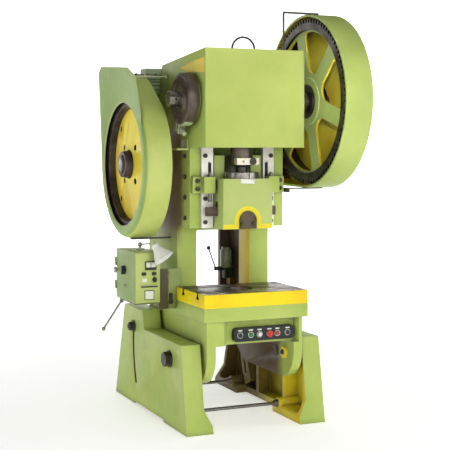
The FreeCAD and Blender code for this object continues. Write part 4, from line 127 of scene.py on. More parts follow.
# white paper that glows by its own emission, a painted light that stands in for lamps:
# its wall burns out to white far from the press, and it glows dimmer to the left, so
# that the press's left side stays the darker one
paper, tree, skin, place = finish_of("matt white background paper")
away = add(tree, "ShaderNodeVectorMath", operation="LENGTH", Vector=place)
glow = add(tree, "ShaderNodeMapRange", Value=away, From_Min=2.0, From_Max=7.0, To_Min=0.5,
           To_Max=0.98)
parts = add(tree, "ShaderNodeSeparateXYZ", Vector=place)
aside = add(tree, "ShaderNodeMapRange", Value=parts.outputs["X"], From_Min=-11.0,
            From_Max=-5.0, To_Min=0.4)
painted_glow = add(tree, "ShaderNodeMath", operation="MULTIPLY", Value_0=glow, Value_1=aside)
feed(skin, Base_Color=linear("#F8F8F6"), Roughness=0.9, Emission_Color=linear("#FFFFFF"),
     Emission_Strength=painted_glow)

# a disc that sweeps up into a low white wall all round, outside every camera's circle
floor_reach, sweep, wall_top = 11.0, 1.6, 4.9
profile = [(floor_reach * share, 0.0) for share in (0.25, 0.5, 0.75, 1.0)]
profile += [(floor_reach + sweep * math.sin(turn), sweep - sweep * math.cos(turn))
            for turn in round_angles(32)[1:9]]
profile.append((floor_reach + sweep, wall_top))
shape = bmesh.new()
centre = shape.verts.new((0, 0, 0))
rings = [[shape.verts.new((reach * math.cos(turn), reach * math.sin(turn), level))
          for turn in round_angles(72)] for reach, level in profile]
for corner, after in zip(rings[0], rings[0][1:] + rings[0][:1]):
    shape.faces.new((centre, corner, after))
skin_between(shape, rings[::-1])
studio_floor = built("studio_floor", shape, [paper])
studio_floor.data.shade_smooth()


def lamp(name, place, target, size, power, spread=180):
    """A square area lamp of a size in metres and a power in watts, aimed at a target."""
    light = bpy.data.lights.new(name, "AREA")
    light.shape = "SQUARE"
    light.size = size
    light.energy = power
    light.spread = math.radians(spread)
    stand = bpy.data.objects.new(name, light)
    STUDIO.collection.objects.link(stand)
    aim = Vector(target) - Vector(place)
    stand.matrix_world = (Matrix.Translation(place)
                          @ aim.to_track_quat("-Z", "Y").to_matrix().to_4x4())


lamp("front_softbox", (0.4, -6.8, 4.0), (0, -0.4, 1.3), 3.0, 84)
lamp("drum_light", (-2.5, -6.2, 2.6), (0.66, -0.475, 2.135), 0.4, 0.6, spread=9)
lamp("right_softbox", (5.2, -1.5, 4.0), (0, -0.2, 1.4), 3.0, 40)
lamp("back_softbox", (0.5, 4.8, 4.8), (0, 0, 1.4), 3.4, 56)
lamp("top_softbox", (0, -0.6, 6.4), (0, -0.4, 1.0), 3.6, 38)
world = bpy.data.worlds.new("studio_air")
world.use_nodes = True
feed(world.node_tree.nodes["Background"], Color=linear("#FFFFFF"), Strength=0.05)
STUDIO.world = world

lens = bpy.data.cameras.new("camera")
lens.sensor_width, lens.lens, lens.shift_y, lens.dof.use_dof = 36.0, 88.785, -0.10, False
camera = bpy.data.objects.new("camera", lens)
STUDIO.collection.objects.link(camera)
camera.location = (-3.0213, -7.1901, 1.8146)
camera.rotation_euler = (math.radians(90 - 1.615), 0, math.radians(-23.363))
STUDIO.camera = camera

# ----------------------------------------
# Legs: two ribbed grey-iron castings, filled, rubbed down and brushed with oil enamel,
# green outside and yellow inside. Their corners are rounded by the pattern they were
# moulded from.


def edge_wear_and_highlight(tree, radius, start, end, most):
    """A normal that is rounded over the edges, and a mask of the edges, where wear is rubbed
    pale and a highlight line is painted.
    """
    rounded = add(tree, "ShaderNodeBevel", samples=6, Radius=radius)
    flat = add(tree, "ShaderNodeNewGeometry")
    turn = add(tree, "ShaderNodeVectorMath", operation="DOT_PRODUCT", Vector_0=rounded,
               Vector_1=flat.outputs["Normal"])
    return rounded, add(tree, "ShaderNodeMapRange", Value=turn, From_Min=start, From_Max=end,
                        To_Max=most)


def enamel(name, base, deep, corner_grime_and_shade="#3E3A28", chipped="#E2E6C0", swell=1.0, zone=None,
           second="#E6D632", corner_darkening=0.7):
    """Oil enamel over filler on iron or sheet. The coat's colour drifts a little over
    half a metre, its corners are darkened as dust and oil and as painted shade, its edges
    are rubbed pale, and its gloss is uneven. IOR 1.5. A zone is a mask of where a second
    colour is laid on, as brushed paint or as painted shade."""
    material, tree, skin, place = finish_of(name)
    cloud = add(tree, "ShaderNodeTexNoise", Vector=place, Scale=2.3, Detail=4.0, Roughness=0.6)
    drift = add(tree, "ShaderNodeMapRange", Value=cloud, From_Min=0.36, From_Max=0.64)
    coat = add(tree, "ShaderNodeMix", data_type="RGBA", Factor=drift, A=linear(deep),
               B=linear(base))
    if zone:
        coat = add(tree, "ShaderNodeMix", data_type="RGBA", Factor=zone(tree, place), A=coat,
                   B=linear(second))
    # painted shade: the corners darken with their occlusion, 60 mm wide, for the dust and oil
    # that lie there and for the shade that falls there, broken up by the hand that wiped them
    corner = add(tree, "ShaderNodeAmbientOcclusion", samples=6, Distance=0.07)
    blot = add(tree, "ShaderNodeTexNoise", Vector=place, Scale=14.0, Detail=6.0, Roughness=0.7)
    shade_and_wipes = add(tree, "ShaderNodeMath", operation="MULTIPLY_ADD", Value_0=blot, Value_1=0.55,
                Value_2=corner.outputs["AO"])
    dust_and_shade = add(tree, "ShaderNodeMapRange", Value=shade_and_wipes, From_Min=0.5, From_Max=1.08,
               To_Min=corner_darkening, To_Max=0.0)
    dusted_and_shaded = add(tree, "ShaderNodeMix", data_type="RGBA", Factor=dust_and_shade, A=coat, B=linear(corner_grime_and_shade))
    # edges rubbed through to the pale filler, a few millimetres wide
    rounded, edge = edge_wear_and_highlight(tree, 0.005, 0.998, 0.92, 0.8)
    rubbed = add(tree, "ShaderNodeMath", operation="MULTIPLY", Value_0=edge, Value_1=blot)
    worn = add(tree, "ShaderNodeMix", data_type="RGBA", Factor=rubbed, A=dusted_and_shaded,
               B=linear(chipped))
    gloss = add(tree, "ShaderNodeMapRange", Value=blot, From_Min=0.3, From_Max=0.7,
                To_Min=0.34, To_Max=0.5)
    # the filler's swell, 60 mm from crest to crest, and brush marks 4 mm apart
    waves = add(tree, "ShaderNodeTexNoise", Vector=place, Scale=15.0, Detail=2.0)
    brush = add(tree, "ShaderNodeMapping", Vector=place, Scale=(240.0, 240.0, 26.0))
    marks = add(tree, "ShaderNodeTexNoise", Vector=brush, Scale=1.0, Detail=2.0)
    relief = add(tree, "ShaderNodeMath", operation="MULTIPLY_ADD", Value_0=marks, Value_1=0.05,
                 Value_2=waves)
    bump = add(tree, "ShaderNodeBump", Height=relief, Strength=0.22 * swell, Distance=0.004,
               Normal=rounded)
    feed(skin, Base_Color=worn, Roughness=gloss, IOR=1.5, Specular_IOR_Level=0.2, Normal=bump)
    return material


def mesh_made_by(piece):
    """The plain mesh that a piece's curve or modifiers make."""
    graph = bpy.context.evaluated_depsgraph_get()
    return bpy.data.meshes.new_from_object(piece.evaluated_get(graph), depsgraph=graph)


def bake_modifiers(piece):
    """Put what a piece's modifiers make into the piece itself."""
    baked = mesh_made_by(piece)
    piece.modifiers.clear()
    piece.data = baked


def declare(piece, body, node=None):
    """Say which body a piece rides on, and hide the node that it replaces."""
    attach(piece, body)
    if node:
        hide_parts(node)


def coated_casting(node, body, paints, choose=None, corner=0.004, cuts=(), shift=None):
    """A casting's solid with every outer corner rounded, and a coat chosen for each face
    from its middle and its normal. A cut is a plane where one coat ends, and a shift
    moves the solid's points to where the real one has them."""
    shape = bmesh.new()
    shape.from_mesh(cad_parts[node].data)
    bmesh.ops.remove_doubles(shape, verts=shape.verts, dist=0.00003)
    for point in shape.verts if shift else ():
        point.co = shift(point.co)
    for place, normal in cuts:
        everything = shape.verts[:] + shape.edges[:] + shape.faces[:]
        bmesh.ops.bisect_plane(shape, geom=everything, dist=0.00001, plane_co=place,
                               plane_no=normal)
    for face in shape.faces:
        face.smooth = True
        face.material_index = choose(face.calc_center_median(), face.normal) if choose else 0
    bmesh.ops.dissolve_limit(shape, angle_limit=math.radians(0.7), verts=shape.verts,
                             edges=shape.edges, delimit={"MATERIAL"})
    piece = built(f"{node}_rounded", shape, paints)
    rounding = piece.modifiers.new("moulded corners", "BEVEL")
    rounding.width, rounding.segments = corner, 2
    rounding.limit_method, rounding.angle_limit = "ANGLE", math.radians(35)
    rounding.harden_normals = rounding.use_clamp_overlap = True
    bake_modifiers(piece)
    declare(piece, body, node)


cast_green = enamel("green oil enamel on filled cast iron", "#B9C86A", "#A6BB5C")


def ragged_zone(scale, *edges):
    """A mask with ragged edges. Each edge is an axis, how far the edge wanders along it,
    where it starts and is full, and how much it then covers."""
    def mask(tree, place):
        parts = add(tree, "ShaderNodeSeparateXYZ", Vector=place)
        blot = add(tree, "ShaderNodeTexNoise", Vector=place, Scale=scale, Detail=4.0)
        cover = None
        for axis, wander, start, full, most in edges:
            line = add(tree, "ShaderNodeMath", operation="MULTIPLY_ADD", Value_0=blot,
                       Value_1=wander, Value_2=parts.outputs[axis])
            edge = add(tree, "ShaderNodeMapRange", Value=line, From_Min=start, From_Max=full,
                       To_Max=most)
            cover = add(tree, "ShaderNodeMath", operation="MULTIPLY", Value_0=cover,
                        Value_1=edge) if cover else edge
        return cover
    return mask


# painted shade: the rear of each leg's hollow is painted brown, where deep shade falls in it
rear_shade = ragged_zone(9.0, ("Y", 0.22, -0.18, 0.2, 0.92))
leg_inside = enamel("yellow oil enamel, painted brown with shade to the rear", "#E8D834", "#D9C02C",
                    corner_grime_and_shade="#5A4420", chipped="#F2EAA8", zone=rear_shade, second="#4E3C2C")
leg_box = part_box("left_leg")
leg_top, leg_front, leg_rear = leg_box[1].z, -0.6, leg_box[1].y - 0.195
leg_hollow, ledge, shoulder = 0.475, 0.5, 0.58


def leg_coat(middle, normal):
    """Yellow in the hollow that faces the frame, green on the posts and outside."""
    facing_frame = normal.x * middle.x < -0.05
    inward = abs(middle.x) < leg_hollow and middle.z < leg_top - 0.01
    at_front = middle.y < leg_front and normal.y < -0.4
    at_end = at_front or middle.y > leg_rear and normal.y > 0.4
    on_top = (middle.z > ledge and normal.z > 0.3
              or middle.z > shoulder and normal.y < -0.4)
    return 1 if (facing_frame or inward) and not (at_end or on_top) else 0


for side in ("left", "right"):
    coated_casting(f"{side}_leg", "base", [cast_green, leg_inside], leg_coat,
                   corner=0.007)

# ----------------------------------------
# Tie rods and bolts of the base: drawn steel bars with flared foot nuts, and blackened
# forged bolts on which the frame leans. Oil and shop dust have darkened them.


def worked_steel(name, base, dark, rough, scratch=(300.0, 300.0, 300.0), oil=0.5, spots=0.0,
                 metal=0.85):
    """Turned or ground steel or iron: a metal with fine tool marks, patches of old oil, and
    bright edges, rubbed and painted pale as a highlight line."""
    material, tree, skin, place = finish_of(name)
    film = add(tree, "ShaderNodeTexNoise", Vector=place, Scale=11.0, Detail=6.0,
               Roughness=0.65)
    patch = add(tree, "ShaderNodeMapRange", Value=film, From_Min=0.4, From_Max=0.62,
                To_Max=oil)
    tone = add(tree, "ShaderNodeMix", data_type="RGBA", Factor=patch, A=linear(base),
               B=linear(dark))
    fleck = add(tree, "ShaderNodeTexNoise", Vector=place, Scale=420.0, Detail=2.0)
    speck = add(tree, "ShaderNodeMapRange", Value=fleck, From_Min=0.56, From_Max=0.66,
                To_Max=spots)
    frosted = add(tree, "ShaderNodeMix", data_type="RGBA", Factor=speck, A=tone,
                  B=linear("#F2F2EE"))
    # painted highlight: the edges are painted pale, for rubbed metal and for the bright line
    # along them
    rounded, edge = edge_wear_and_highlight(tree, 0.002, 0.995, 0.9, 0.55)
    bright = add(tree, "ShaderNodeMix", data_type="RGBA", Factor=edge, A=frosted,
                 B=linear("#B8B2A6"))
    sheen = add(tree, "ShaderNodeMapRange", Value=film, From_Min=0.3, From_Max=0.7,
                To_Min=rough - 0.08, To_Max=rough + 0.12)
    grain = add(tree, "ShaderNodeMapping", Vector=place, Scale=scratch)
    marks = add(tree, "ShaderNodeTexNoise", Vector=grain, Scale=1.0, Detail=3.0)
    bump = add(tree, "ShaderNodeBump", Height=marks, Strength=0.12, Distance=0.001,
               Normal=rounded)
    feed(skin, Base_Color=bright, Metallic=metal, Roughness=sheen, Normal=bump)
    return material


def finished(material, *nodes):
    """Parts whose solids are already their finished shapes get their real surface."""
    for node in nodes:
        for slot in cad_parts[node].material_slots:
            slot.material = material


drawn_steel = worked_steel("drawn steel bar", "#7E7C78", "#4A463F", 0.34,
                           scratch=(30.0, 500.0, 500.0))
black_forging = worked_steel("blackened forged steel", "#4A4642", "#262421", 0.42)
oily_iron = worked_steel("machined cast iron, oiled", "#6A6056", "#3A332B", 0.36)
finished(drawn_steel, "tie_rods")
finished(oily_iron, "tie_rod_nuts")
finished(black_forging, "pivot_bolts", "lock_bolts")

# ----------------------------------------
# Frame: one C-shaped casting of grey iron, filled and enamelled green. The strip beside
# the throat is brushed yellow, and the hollow under the bed and the inside of the throat
# are painted brown, as years of oil and as painted shade that fills them.

bed_level, bed_under, plate_inner = 0.797, 0.707, 0.278
throat_top, throat_wall, throat_hollow = 1.29, 0.2, 0.336
apron_back, pillar_front, strip_back = -0.635, -0.172, 0.054


def frame_coat(middle, normal):
    """0 green, 1 yellow, 2 the inside of the bed and of the throat, painted brown for oil and
    for shade.
    """
    under_bed = abs(middle.x) < plate_inner + 0.005 and middle.z < bed_under
    if under_bed and middle.y > apron_back:
        return 2
    in_throat = (abs(middle.x) < throat_hollow and middle.y > pillar_front - 0.002
                 and bed_level - 0.001 < middle.z < throat_top)
    faces_front = normal.y < -0.5 and middle.y > pillar_front + 0.01
    if in_throat and (abs(normal.y) < 0.5 or faces_front):
        on_wall = abs(abs(middle.x) - throat_wall) < 0.003 and abs(normal.x) > 0.7
        return 1 if on_wall and middle.y < strip_back else 2
    return 0


# painted shadow: the left side beside the flywheel is painted brown where the guard's
# shadow falls, and the frame's hollow is painted dark as shade, staying green only towards its
# front
guard_shadow_zone = ragged_zone(12.0, ("Y", 0.09, -0.245, -0.19, 0.92),
                          ("Z", 0.09, 1.165, 1.345, 1.0), ("Z", 0.09, 2.065, 1.945, 1.0),
                          ("X", 0.0, -0.30, -0.335, 1.0))
front_green = ragged_zone(10.0, ("Y", 0.1, -0.40, -0.49, 1.0))
frame_green = enamel("green oil enamel, painted with shadow beside the drive", "#B9C86A", "#A6BB5C",
                     zone=guard_shadow_zone, second="#7C6650")
strip_yellow = enamel("bright yellow enamel on the throat wall", "#FFEA4C", "#FFDC3A",
                      corner_grime_and_shade="#B09A3C", corner_darkening=0.15)
brown_oil_and_shade = enamel("green enamel painted brown for oil and shade", "#6E5E48", "#54463A", corner_grime_and_shade="#2A241C",
                      chipped="#8A8068", zone=front_green, second="#A9B85E", corner_darkening=0.45)
coated_casting("frame", "press_frame",
               [frame_green, strip_yellow, brown_oil_and_shade], frame_coat, corner=0.004,
               cuts=[((0, strip_back, 0), (0, 1, 0)), ((0, pillar_front, 0), (0, 1, 0))])


def turned(name, body, finish, start, way, profile, steps=40):
    """A turned piece: a profile of distances along the axis and radii, closed at both
    ends, spun round the axis from its start."""
    along = Vector(way).normalized()
    side = along.orthogonal().normalized()
    other = along.cross(side)
    shape = bmesh.new()
    rings = [[shape.verts.new(Vector(start) + along * reach + radius
                              * (math.cos(turn) * side + math.sin(turn) * other))
              for turn in round_angles(steps)] for reach, radius in profile]
    skin_between(shape, rings)
    shape.faces.new(rings[0][::-1])
    shape.faces.new(rings[-1])
    bmesh.ops.recalc_face_normals(shape, faces=shape.faces)
    for face in shape.faces:
        face.smooth = True
    declare(built(name, shape, [finish], sharp=35), body)


cast_yellow = enamel("yellow oil enamel on filled cast iron", "#EEDC34", "#E0C42C",
                     corner_grime_and_shade="#5A4A24", chipped="#F2EAA8", corner_darkening=0.5)
# yellow bosses inside the side plates, each with the end of a blackened bolt
boss_line, boss_level = -0.562, 0.456
for side in (-1, 1):
    turned(f"plate_boss_{side + 2}", "press_frame", cast_yellow,
           (side * plate_inner, boss_line, boss_level), (-side, 0, 0),
           [(-0.001, 0.042), (0.012, 0.041), (0.016, 0.037), (0.0165, 0.020)])
    turned(f"plate_boss_bolt_{side + 2}", "press_frame", black_forging,
           (side * (plate_inner - 0.014), boss_line, boss_level), (-side, 0, 0),
           [(0.0, 0.017), (0.010, 0.017), (0.012, 0.015), (0.012, 0.009), (0.016, 0.009),
            (0.017, 0.008)], steps=24)

# ----------------------------------------
# Bolster plate: a planed slab of cast iron. Its edges are enamelled bright yellow as a
# warning, and its top and T-slots are bare iron, brown with oil and worn bright in front.

signal_yellow = enamel("bright yellow enamel on planed iron", "#F8E41C", "#F2CE1E",
                       corner_grime_and_shade="#6A5A20", chipped="#F6EC90", swell=0.6, corner_darkening=0.4)


def planed_top():
    """Planed cast iron: fine lines 1 mm apart along the slots, brown oil film, and
    bright rubbed patches where dies have slid."""
    material, tree, skin, place = finish_of("planed cast iron under an oil film")
    film = add(tree, "ShaderNodeTexNoise", Vector=place, Scale=6.5, Detail=8.0, Roughness=0.68,
               Distortion=0.6)
    parts = add(tree, "ShaderNodeSeparateXYZ", Vector=place)
    toward = add(tree, "ShaderNodeMapRange", Value=parts.outputs["Y"], From_Min=-0.72,
                 From_Max=-0.3, To_Min=0.62, To_Max=0.30)
    level = add(tree, "ShaderNodeMath", operation="SUBTRACT", Value_0=toward, Value_1=film)
    rubbed = add(tree, "ShaderNodeMapRange", Value=level, From_Min=-0.06, From_Max=0.14)
    metal = add(tree, "ShaderNodeMix", data_type="RGBA", Factor=rubbed, A=linear("#5A4B42"),
                B=linear("#A89A84"))
    sheen = add(tree, "ShaderNodeMapRange", Value=film, From_Min=0.3, From_Max=0.7,
                To_Min=0.22, To_Max=0.46)
    grain = add(tree, "ShaderNodeMapping", Vector=place, Scale=(6.0, 700.0, 700.0))
    lines = add(tree, "ShaderNodeTexNoise", Vector=grain, Scale=1.0, Detail=2.0)
    bump = add(tree, "ShaderNodeBump", Height=lines, Strength=0.18, Distance=0.001)
    feed(skin, Base_Color=metal, Metallic=0.7, Roughness=sheen, Normal=bump)
    return material


bolster_low, bolster_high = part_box("bolster_plate")
screw_across, screw_lines, screw_seat = 0.325, (-0.67, -0.28), 0.866


def bolster_coat(middle, normal):
    """Yellow round the plate's four sides, planed iron on its top and in its slots."""
    outside = (abs(middle.x) > bolster_high.x - 0.001 or middle.y < bolster_low.y + 0.001
               or middle.y > bolster_high.y - 0.001)
    return 0 if outside and abs(normal.z) < 0.5 else 1


coated_casting("bolster_plate", "press_frame", [signal_yellow, planed_top()],
               bolster_coat, corner=0.002)


def screw_head_tree():
    """Nodes that put one screw head on every point, facing the way that the point says:
    a drum with a chamfered top and a socket, of a given number of sides."""
    tree = bpy.data.node_groups.new("screw_heads", "GeometryNodeTree")
    face = tree.interface
    face.new_socket("Places", in_out="INPUT", socket_type="NodeSocketGeometry")
    for name in ("Radius", "Height", "Socket"):
        face.new_socket(name, in_out="INPUT", socket_type="NodeSocketFloat")
    face.new_socket("Sides", in_out="INPUT", socket_type="NodeSocketInt")
    face.new_socket("Finish", in_out="INPUT", socket_type="NodeSocketMaterial")
    face.new_socket("Screws", in_out="OUTPUT", socket_type="NodeSocketGeometry")
    given = add(tree, "NodeGroupInput")
    drum = add(tree, "GeometryNodeMeshCylinder", Vertices=given.outputs["Sides"],
               Radius=given.outputs["Radius"], Depth=given.outputs["Height"])
    rim = add(tree, "GeometryNodeExtrudeMesh", mode="FACES", Mesh=drum.outputs["Mesh"],
              Selection=drum.outputs["Top"], Offset_Scale=0.0012, Individual=False)
    chamfer = add(tree, "GeometryNodeScaleElements", Geometry=rim.outputs["Mesh"],
                  Selection=rim.outputs["Top"], Scale=0.86)
    inset = add(tree, "GeometryNodeExtrudeMesh", mode="FACES", Mesh=chamfer,
                Selection=rim.outputs["Top"], Offset_Scale=0.0, Individual=False)
    mouth = add(tree, "GeometryNodeScaleElements", Geometry=inset.outputs["Mesh"],
                Selection=inset.outputs["Top"], Scale=0.6)
    depth = add(tree, "ShaderNodeMath", operation="MULTIPLY", Value_0=given.outputs["Socket"],
                Value_1=-1.0)
    well = add(tree, "GeometryNodeExtrudeMesh", mode="FACES", Mesh=mouth,
               Selection=inset.outputs["Top"], Offset_Scale=depth, Individual=False)
    facing = add(tree, "GeometryNodeInputNamedAttribute", data_type="FLOAT_VECTOR",
                 Name="facing")
    turn = add(tree, "FunctionNodeAlignRotationToVector", axis="Z", Vector=facing)
    heads = add(tree, "GeometryNodeInstanceOnPoints", Points=given.outputs["Places"],
                Instance=well.outputs["Mesh"], Rotation=turn)
    real = add(tree, "GeometryNodeRealizeInstances", Geometry=heads)
    flat = add(tree, "GeometryNodeSetShadeSmooth", Geometry=real, Shade_Smooth=False)
    painted = add(tree, "GeometryNodeSetMaterial", Geometry=flat,
                  Material=given.outputs["Finish"])
    add(tree, "NodeGroupOutput", Screws=painted)
    return tree


screw_tree = screw_head_tree()


def screws(name, body, finish, spots, radius, height, sides=24, socket=None):
    """Screw heads at spots, each a place and the way it faces, as one plain mesh."""
    points = bpy.data.meshes.new(f"{name}_places")
    points.from_pydata([place for place, _ in spots], [], [])
    facing = points.attributes.new("facing", "FLOAT_VECTOR", "POINT")
    for index, (_, way) in enumerate(spots):
        facing.data[index].vector = way
    maker = bpy.data.objects.new(name, points)
    STUDIO.collection.objects.link(maker)
    nodes = maker.modifiers.new("heads", "NODES")
    nodes.node_group = screw_tree
    wanted = {"Radius": radius, "Height": height, "Sides": sides, "Finish": finish,
              "Socket": radius * 0.5 if socket is None else socket}
    for socket_item in screw_tree.interface.items_tree:
        if socket_item.name in wanted:
            nodes[socket_item.identifier] = wanted[socket_item.name]
    bake_modifiers(maker)
    declare(maker, body)


screws("bolster_screws", "press_frame", black_forging,
       [((side * screw_across, line, screw_seat), (0, 0, 1))
        for side in (-1, 1) for line in screw_lines], 0.0168, 0.022)

# ----------------------------------------
# Head cover: a sheet of 3 mm steel over the head's front, sprayed with the same green.
# Sheet keeps a finer, flatter coat than the filled castings do.

sheet_green = enamel("green enamel sprayed on sheet steel", "#BCC96C", "#AFBF60", swell=0.35)
finished(sheet_green, "head_cover")

# a yellow patch high on the left of the head
patch_side = -0.3514
patch_corners = [(patch_side, line, level) for line, level in
                 ((-0.242, 2.355), (-0.372, 2.318), (-0.682, 2.298), (-0.682, 2.398),
                  (-0.52, 2.386))]


def flat_plate(name, body, finish, corners, inward):
    """A thin plate from its outer corners and the way in to its back."""
    shape = bmesh.new()
    front = [shape.verts.new(place) for place in corners]
    behind = [shape.verts.new(Vector(place) + Vector(inward)) for place in corners]
    shape.faces.new(front)
    shape.faces.new(behind[::-1])
    skin_between(shape, [behind, front])
    bmesh.ops.recalc_face_normals(shape, faces=shape.faces)
    declare(built(name, shape, [finish]), body)


patch_yellow = enamel("yellow patch enamel, speckled at its edge", "#F2DA34", "#E4C630",
                    corner_grime_and_shade="#8A8A3A", chipped="#E8E4B0", corner_darkening=0.3)
flat_plate("head_side_patch", "press_frame", patch_yellow, patch_corners,
           (0.0012, 0, 0))

# ----------------------------------------
# Slide guides: hand-scraped steel rails, held by blackened cap screws. The bevelled stop
# brackets are green castings, and their stop screws are plain steel.

scraped_steel = worked_steel("hand-scraped steel", "#F2EFE6", "#C4BEB0", 0.5,
                             scratch=(260.0, 260.0, 90.0), oil=0.3, spots=0.9, metal=0.35)
finished(scraped_steel, "guide_rails")
rail_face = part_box("guide_rails")[0].y


def front_plate(name, finish, sides, levels, face, thick):
    """An upright plate on the press's frame, from its face backwards."""
    (left, right), (low, high) = sides, levels
    flat_plate(name, "press_frame", finish, [(left, face, low), (right, face, low),
                                                   (right, face, high), (left, face, high)],
               (0, thick, 0))


def mottled(name, dark, pale, cloud, marks, relief, **shader):
    """A surface that drifts between two tones, with fine marks in relief. The cloud of
    the tones and the marks are noises, each given by how many to the metre and its
    detail, or the marks by a function. The relief is the marks' strength and depth."""
    material, tree, skin, place = finish_of(name)
    drift = add(tree, "ShaderNodeTexNoise", Vector=place, Scale=cloud[0], Detail=cloud[1])
    tone = add(tree, "ShaderNodeMix", data_type="RGBA", Factor=drift, A=linear(dark),
               B=linear(pale))
    if callable(marks):
        grain = marks(tree, place)
    else:
        grain = add(tree, "ShaderNodeTexNoise", Vector=place, Scale=marks[0], Detail=marks[1])
    bump = add(tree, "ShaderNodeBump", Height=grain, Strength=relief[0], Distance=relief[1])
    feed(skin, Base_Color=tone, Normal=bump, **shader)
    return material


# felt wipers: one in each rail's slot, and one down the edge that the slide runs past, whose
# black strip is painted shadow in the gap there. Matt fibres 0.5 mm thick, drawn at 2 mm so
# that they show, soaked with oil
felt_and_gap_shadow = mottled("oil-soaked black felt", "#0E0E0D", "#34322C", (500.0, 3.0), (500.0, 3.0),
                     (0.5, 0.001), Roughness=0.8)
for side in (-1, 1):
    for label, near, far, foot, top in (("slot", 0.196, 0.218, 1.615, 1.722),
                                        ("edge", 0.1765, 0.1815, 1.296, 1.816)):
        front_plate(f"{label}_wiper_{side + 2}", felt_and_gap_shadow,
                    sorted((side * near, side * far)), (foot, top), rail_face - 0.0012, 0.0025)
finished(black_forging, "guide_bolts")
finished(drawn_steel, "stop_screws")
coated_casting("stop_brackets", "press_frame", [cast_green], corner=0.002)

# ----------------------------------------
# Crankshaft and its bearings: green bearing housings with bronze bushes, and a forged
# steel shaft, turned bright and brown with oil where nothing rubs it.

turned_steel = worked_steel("turned steel, brown with oil", "#8C857A", "#3E342B", 0.28,
                            scratch=(900.0, 60.0, 60.0), oil=0.8)
bronze = worked_steel("cast bearing bronze", "#B08A48", "#6A4E28", 0.35,
                      scratch=(500.0, 80.0, 80.0))
finished(bronze, "bearing_bushes")
finished(turned_steel, "crankshaft")
coated_casting("bearing_housings", "press_frame", [cast_green], corner=0.0025)

# ----------------------------------------
# Brake on the crankshaft's left end: a turned iron drum in a steel band with a woven
# lining. Its lugs are drawn together by a sprung bolt against a green anchor bracket.

drum_iron = worked_steel("turned iron drum, brown with brake dust", "#6E5F54", "#33291F", 0.42,
                         scratch=(700.0, 50.0, 50.0), oil=0.8, metal=0.35)
band_steel = worked_steel("spring steel band", "#5C5046", "#382E26", 0.4,
                          scratch=(700.0, 60.0, 60.0), metal=0.4)
pale_lugs = enamel("pale green enamel, rubbed on the lugs", "#CDD6A8", "#AEBA88",
                   corner_grime_and_shade="#4A4636", chipped="#F0F2E4", swell=0.5)
lug_level = 1.985
coated_casting("brake_drum", "crank", [drum_iron], corner=0.004)
coated_casting("brake_band", "press_frame", [band_steel, pale_lugs],
               lambda middle, normal: 1 if middle.z < lug_level else 0, corner=0.0015)
finished(pale_lugs, "brake_spring_bolt")
coated_casting("brake_anchor", "press_frame", [cast_green], corner=0.002)

# ----------------------------------------
# Connecting rod: an oiled iron casting on the crank, its split end drawn together by the
# pale clamp block. The ball screw's neck runs into a bronze seat under the ring nut.

pale_clamp = worked_steel("scoured steel block", "#D6CFBC", "#8E8674", 0.45,
                          scratch=(200.0, 200.0, 200.0), oil=0.5, spots=0.6)
ground_black = worked_steel("blackened, ground steel", "#565250", "#1C1A18", 0.2,
                            scratch=(60.0, 60.0, 800.0), oil=0.9)
polished_nut = worked_steel("hard-turned steel, oily", "#A8A49C", "#3A342E", 0.22,
                            scratch=(60.0, 60.0, 700.0), oil=0.75)
finished(oily_iron, "connecting_rod")
finished(pale_clamp, "rod_clamp")
finished(ground_black, "ball_screw")
finished(bronze, "ball_seat")
finished(polished_nut, "ring_nut")
screws("rod_clamp_screw", "rod", black_forging,
       [((0.038, -0.5705, 1.731), (0, -1, 0))], 0.0235, 0.014, socket=0.004)

# ----------------------------------------
# Slide: a box casting that carries the upper die. Green enamel, with a yellow arch and
# foot brushed round the shank clamp, a rough iron block behind two nuts.

slide_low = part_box("slide")[0]
arch_radius, arch_level, foot_height = 0.096, 1.342, 0.032
guide_half, guide_line, chamber_half = 0.176, -0.5, 0.12


def arch_zone(tree, place):
    """A mask of the arch round the clamp and of the strip along the slide's foot."""
    parts = add(tree, "ShaderNodeSeparateXYZ", Vector=place)
    x, y, z = parts.outputs["X"], parts.outputs["Y"], parts.outputs["Z"]
    hand = add(tree, "ShaderNodeTexNoise", Vector=place, Scale=60.0, Detail=2.0)
    wander = add(tree, "ShaderNodeMath", operation="MULTIPLY_ADD", Value_0=hand, Value_1=0.004,
                 Value_2=-0.002)
    above = add(tree, "ShaderNodeMath", operation="SUBTRACT", Value_0=z, Value_1=arch_level)
    upper = add(tree, "ShaderNodeMath", operation="MAXIMUM", Value_0=above, Value_1=0.0)
    across = add(tree, "ShaderNodeMath", operation="MULTIPLY", Value_0=x, Value_1=x)
    square = add(tree, "ShaderNodeMath", operation="MULTIPLY_ADD", Value_0=upper,
                 Value_1=upper, Value_2=across)
    reach = add(tree, "ShaderNodeMath", operation="SQRT", Value_0=square)
    ragged = add(tree, "ShaderNodeMath", operation="ADD", Value_0=reach, Value_1=wander)
    arch = add(tree, "ShaderNodeMath", operation="LESS_THAN", Value_0=ragged,
               Value_1=arch_radius)
    height = add(tree, "ShaderNodeMath", operation="ADD", Value_0=z, Value_1=wander)
    foot = add(tree, "ShaderNodeMath", operation="LESS_THAN", Value_0=height,
               Value_1=slide_low.z + foot_height)
    either = add(tree, "ShaderNodeMath", operation="MAXIMUM", Value_0=arch, Value_1=foot)
    front = add(tree, "ShaderNodeMath", operation="LESS_THAN", Value_0=y,
                Value_1=slide_low.y + 0.006)
    both = add(tree, "ShaderNodeMath", operation="MULTIPLY", Value_0=either, Value_1=front)
    return both


slide_paint = enamel("green oil enamel with a brushed yellow arch", "#BCC878", "#AABD66",
                     zone=arch_zone)
ground_sides = worked_steel("ground slide faces", "#8C887C", "#5C554A", 0.32,
                            scratch=(300.0, 300.0, 60.0))


